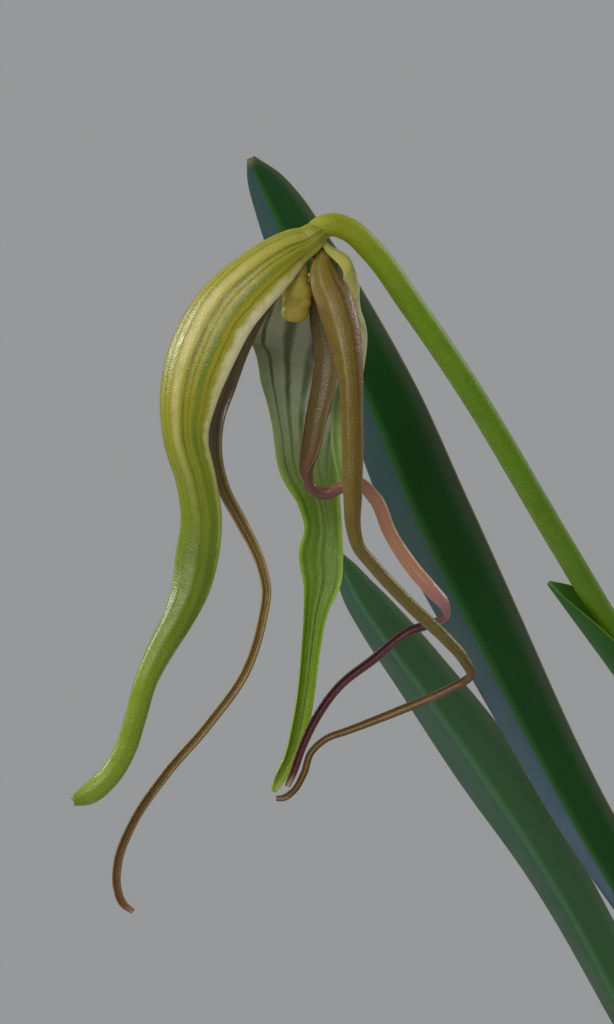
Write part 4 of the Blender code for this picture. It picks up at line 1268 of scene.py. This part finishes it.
def make_bark():
    """Bark chips heaped up to just under the rim, on a solid fill that stays out of sight."""
    core = turned(
        "bark_fill",
        [(0.0, POT_FLOOR + 0.3), (pot_inner_radius(POT_FLOOR) - 2.6, POT_FLOOR + 0.3)]
        + [(pot_inner_radius(93) - 0.4, 93.0), (0.0, 94.0)],
        96,
        [plain_material("bark_dust", (44, 28, 20), (62, 42, 28), 0.95, 300)],
    )
    place(core, "potting_mix")
    draw = np.random.default_rng(BARK_SEED)
    body = bmesh.new()
    turn = math.pi * (3 - math.sqrt(5))
    reach = pot_inner_radius(100) - 5.5
    for k in range(BARK_CHIPS):
        size = np.array((draw.uniform(9, 17), draw.uniform(6, 10.5), draw.uniform(3, 5.5)))
        if k % 3 == 2:
            size = size * 0.55
        share = (k * 0.754877) % 1.0
        radius = reach * math.sqrt(share)
        angle = k * turn
        x, y = radius * math.cos(angle), radius * math.sin(angle)
        beside_crown = (x / 30) ** 2 + (y / 15) ** 2 < 1
        height = 93.5 + 8.0 * k / BARK_CHIPS + draw.uniform(-0.8, 0.8)
        if beside_crown:
            height = min(height, 92.5)
            size = size * 0.6
        height -= 1.5 * share
        corners = draw.normal(0, 1, (18, 3))
        corners = unit(corners) * (np.abs(corners).max(axis=1, keepdims=True) ** 0.15)
        corners = np.clip(corners * 0.72, -0.5, 0.5) * size
        yaw, tilt, roll = draw.uniform(0, math.pi), draw.uniform(-0.4, 0.4), draw.uniform(-0.35, 0.35)
        cy, sy, ct, st = math.cos(yaw), math.sin(yaw), math.cos(tilt), math.sin(tilt)
        cr, sr = math.cos(roll), math.sin(roll)
        spin = np.array([[cy, -sy, 0], [sy, cy, 0], [0, 0, 1]])
        lean = np.array([[ct, 0, st], [0, 1, 0], [-st, 0, ct]])
        bank = np.array([[1, 0, 0], [0, cr, -sr], [0, sr, cr]])
        points = corners @ (spin @ lean @ bank).T + (x, y, height)
        verts = [body.verts.new(Vector(p) * MM) for p in points.tolist()]
        hull = bmesh.ops.convex_hull(body, input=verts)
        loose = [g for g in hull["geom_interior"] + hull["geom_unused"] if isinstance(g, bmesh.types.BMVert)]
        bmesh.ops.delete(body, geom=list(set(loose)), context="VERTS")
    bmesh.ops.bevel(body, geom=body.edges[:], offset=0.00035, segments=1, affect="EDGES", clamp_overlap=True)
    bmesh.ops.recalc_face_normals(body, faces=body.faces)
    place(object_from("bark_chips", body, bark_material()), None)


def make_crown():
    """The rhizome's dull top with dry papery sheaths that wrap the leaves' feet."""
    finish = plain_material("rhizome_skin", (98, 92, 48), (84, 70, 44), 0.75, 220)
    body = bmesh.new()
    bmesh.ops.create_uvsphere(body, u_segments=40, v_segments=20, radius=1.0)
    for v in body.verts:
        square = 1 - 0.12 * abs(v.co.z)
        v.co = Vector((v.co.x * 21.8 * square, v.co.y * 8.4 * square, 80 + v.co.z * 7.8)) * MM
    crown = object_from("crown", body, finish)
    crown.data.shade_smooth()
    place(crown, "rhizome")
    dry = leaf_material("dry_sheath")
    for k, (x, tall, lean) in enumerate(SHEATHS):
        turn = 90 if x < 0 else -90
        rows = []
        for t in (0.0, 0.25, 0.5, 0.75, 0.92, 1.0):
            wide = 8.4 * (1 - 0.93 * max(0.0, (t - 0.35) / 0.65) ** 2)
            rows.append((x + lean * t**1.6, 0.0, CROWN_TOP - 2 + tall * t, wide, 64 - 14 * t, turn))
        surface = ribbon_surface(rows, 60, 20, 0.5, vee_section)
        place(ribbon(f"sheath_{k}", surface, [dry, dry]), None)


# Floor, light and camera


def area_light(name, position, width, power, colour):
    """A round light that faces the flower."""
    lamp = bpy.data.lights.new(name, "AREA")
    lamp.shape, lamp.size = "DISK", width
    lamp.energy, lamp.color = power, colour
    light = add_object(name, lamp)
    light.location = position
    light.rotation_euler = (Vector(FLOWER_MIDDLE) - Vector(position)).to_track_quat("-Z", "Y").to_euler()


def make_stage():
    floor = bmesh.new()
    bmesh.ops.create_circle(floor, cap_ends=True, segments=96, radius=FLOOR_RADIUS)
    finish = plain_material("floor", (228, 227, 224), (224, 223, 220), 0.7, 8, depth=0.0)
    disc = object_from("floor", floor, finish)
    disc.location.z = -0.0002

    world = bpy.data.worlds.new("studio")
    bpy.context.scene.world = world
    world.use_nodes = True
    sky = world.node_tree.nodes["Background"]
    sky.inputs["Color"].default_value = SKY_COLOUR
    sky.inputs["Strength"].default_value = SKY_STRENGTH
    bpy.context.scene.view_settings.view_transform = "Standard"

    for name, settings in LIGHTS.items():
        area_light(name, *settings)


def make_camera():
    """Level with the middle of the flower, straight from its front."""
    lens = bpy.data.cameras.new("camera")
    lens.sensor_width, lens.lens = SENSOR_WIDTH, CAMERA_LENS
    camera = add_object("camera", lens)
    camera.location = CAMERA_PLACE
    camera.rotation_euler = (math.pi / 2, 0.0, 0.0)
    bpy.context.scene.camera = camera


make_pot()
make_bark()
make_crown()
make_leaves()
make_stem()
make_bracts()
surfaces = make_flower()
make_petal_hairs(surfaces)
make_column()
make_stage()
make_camera()
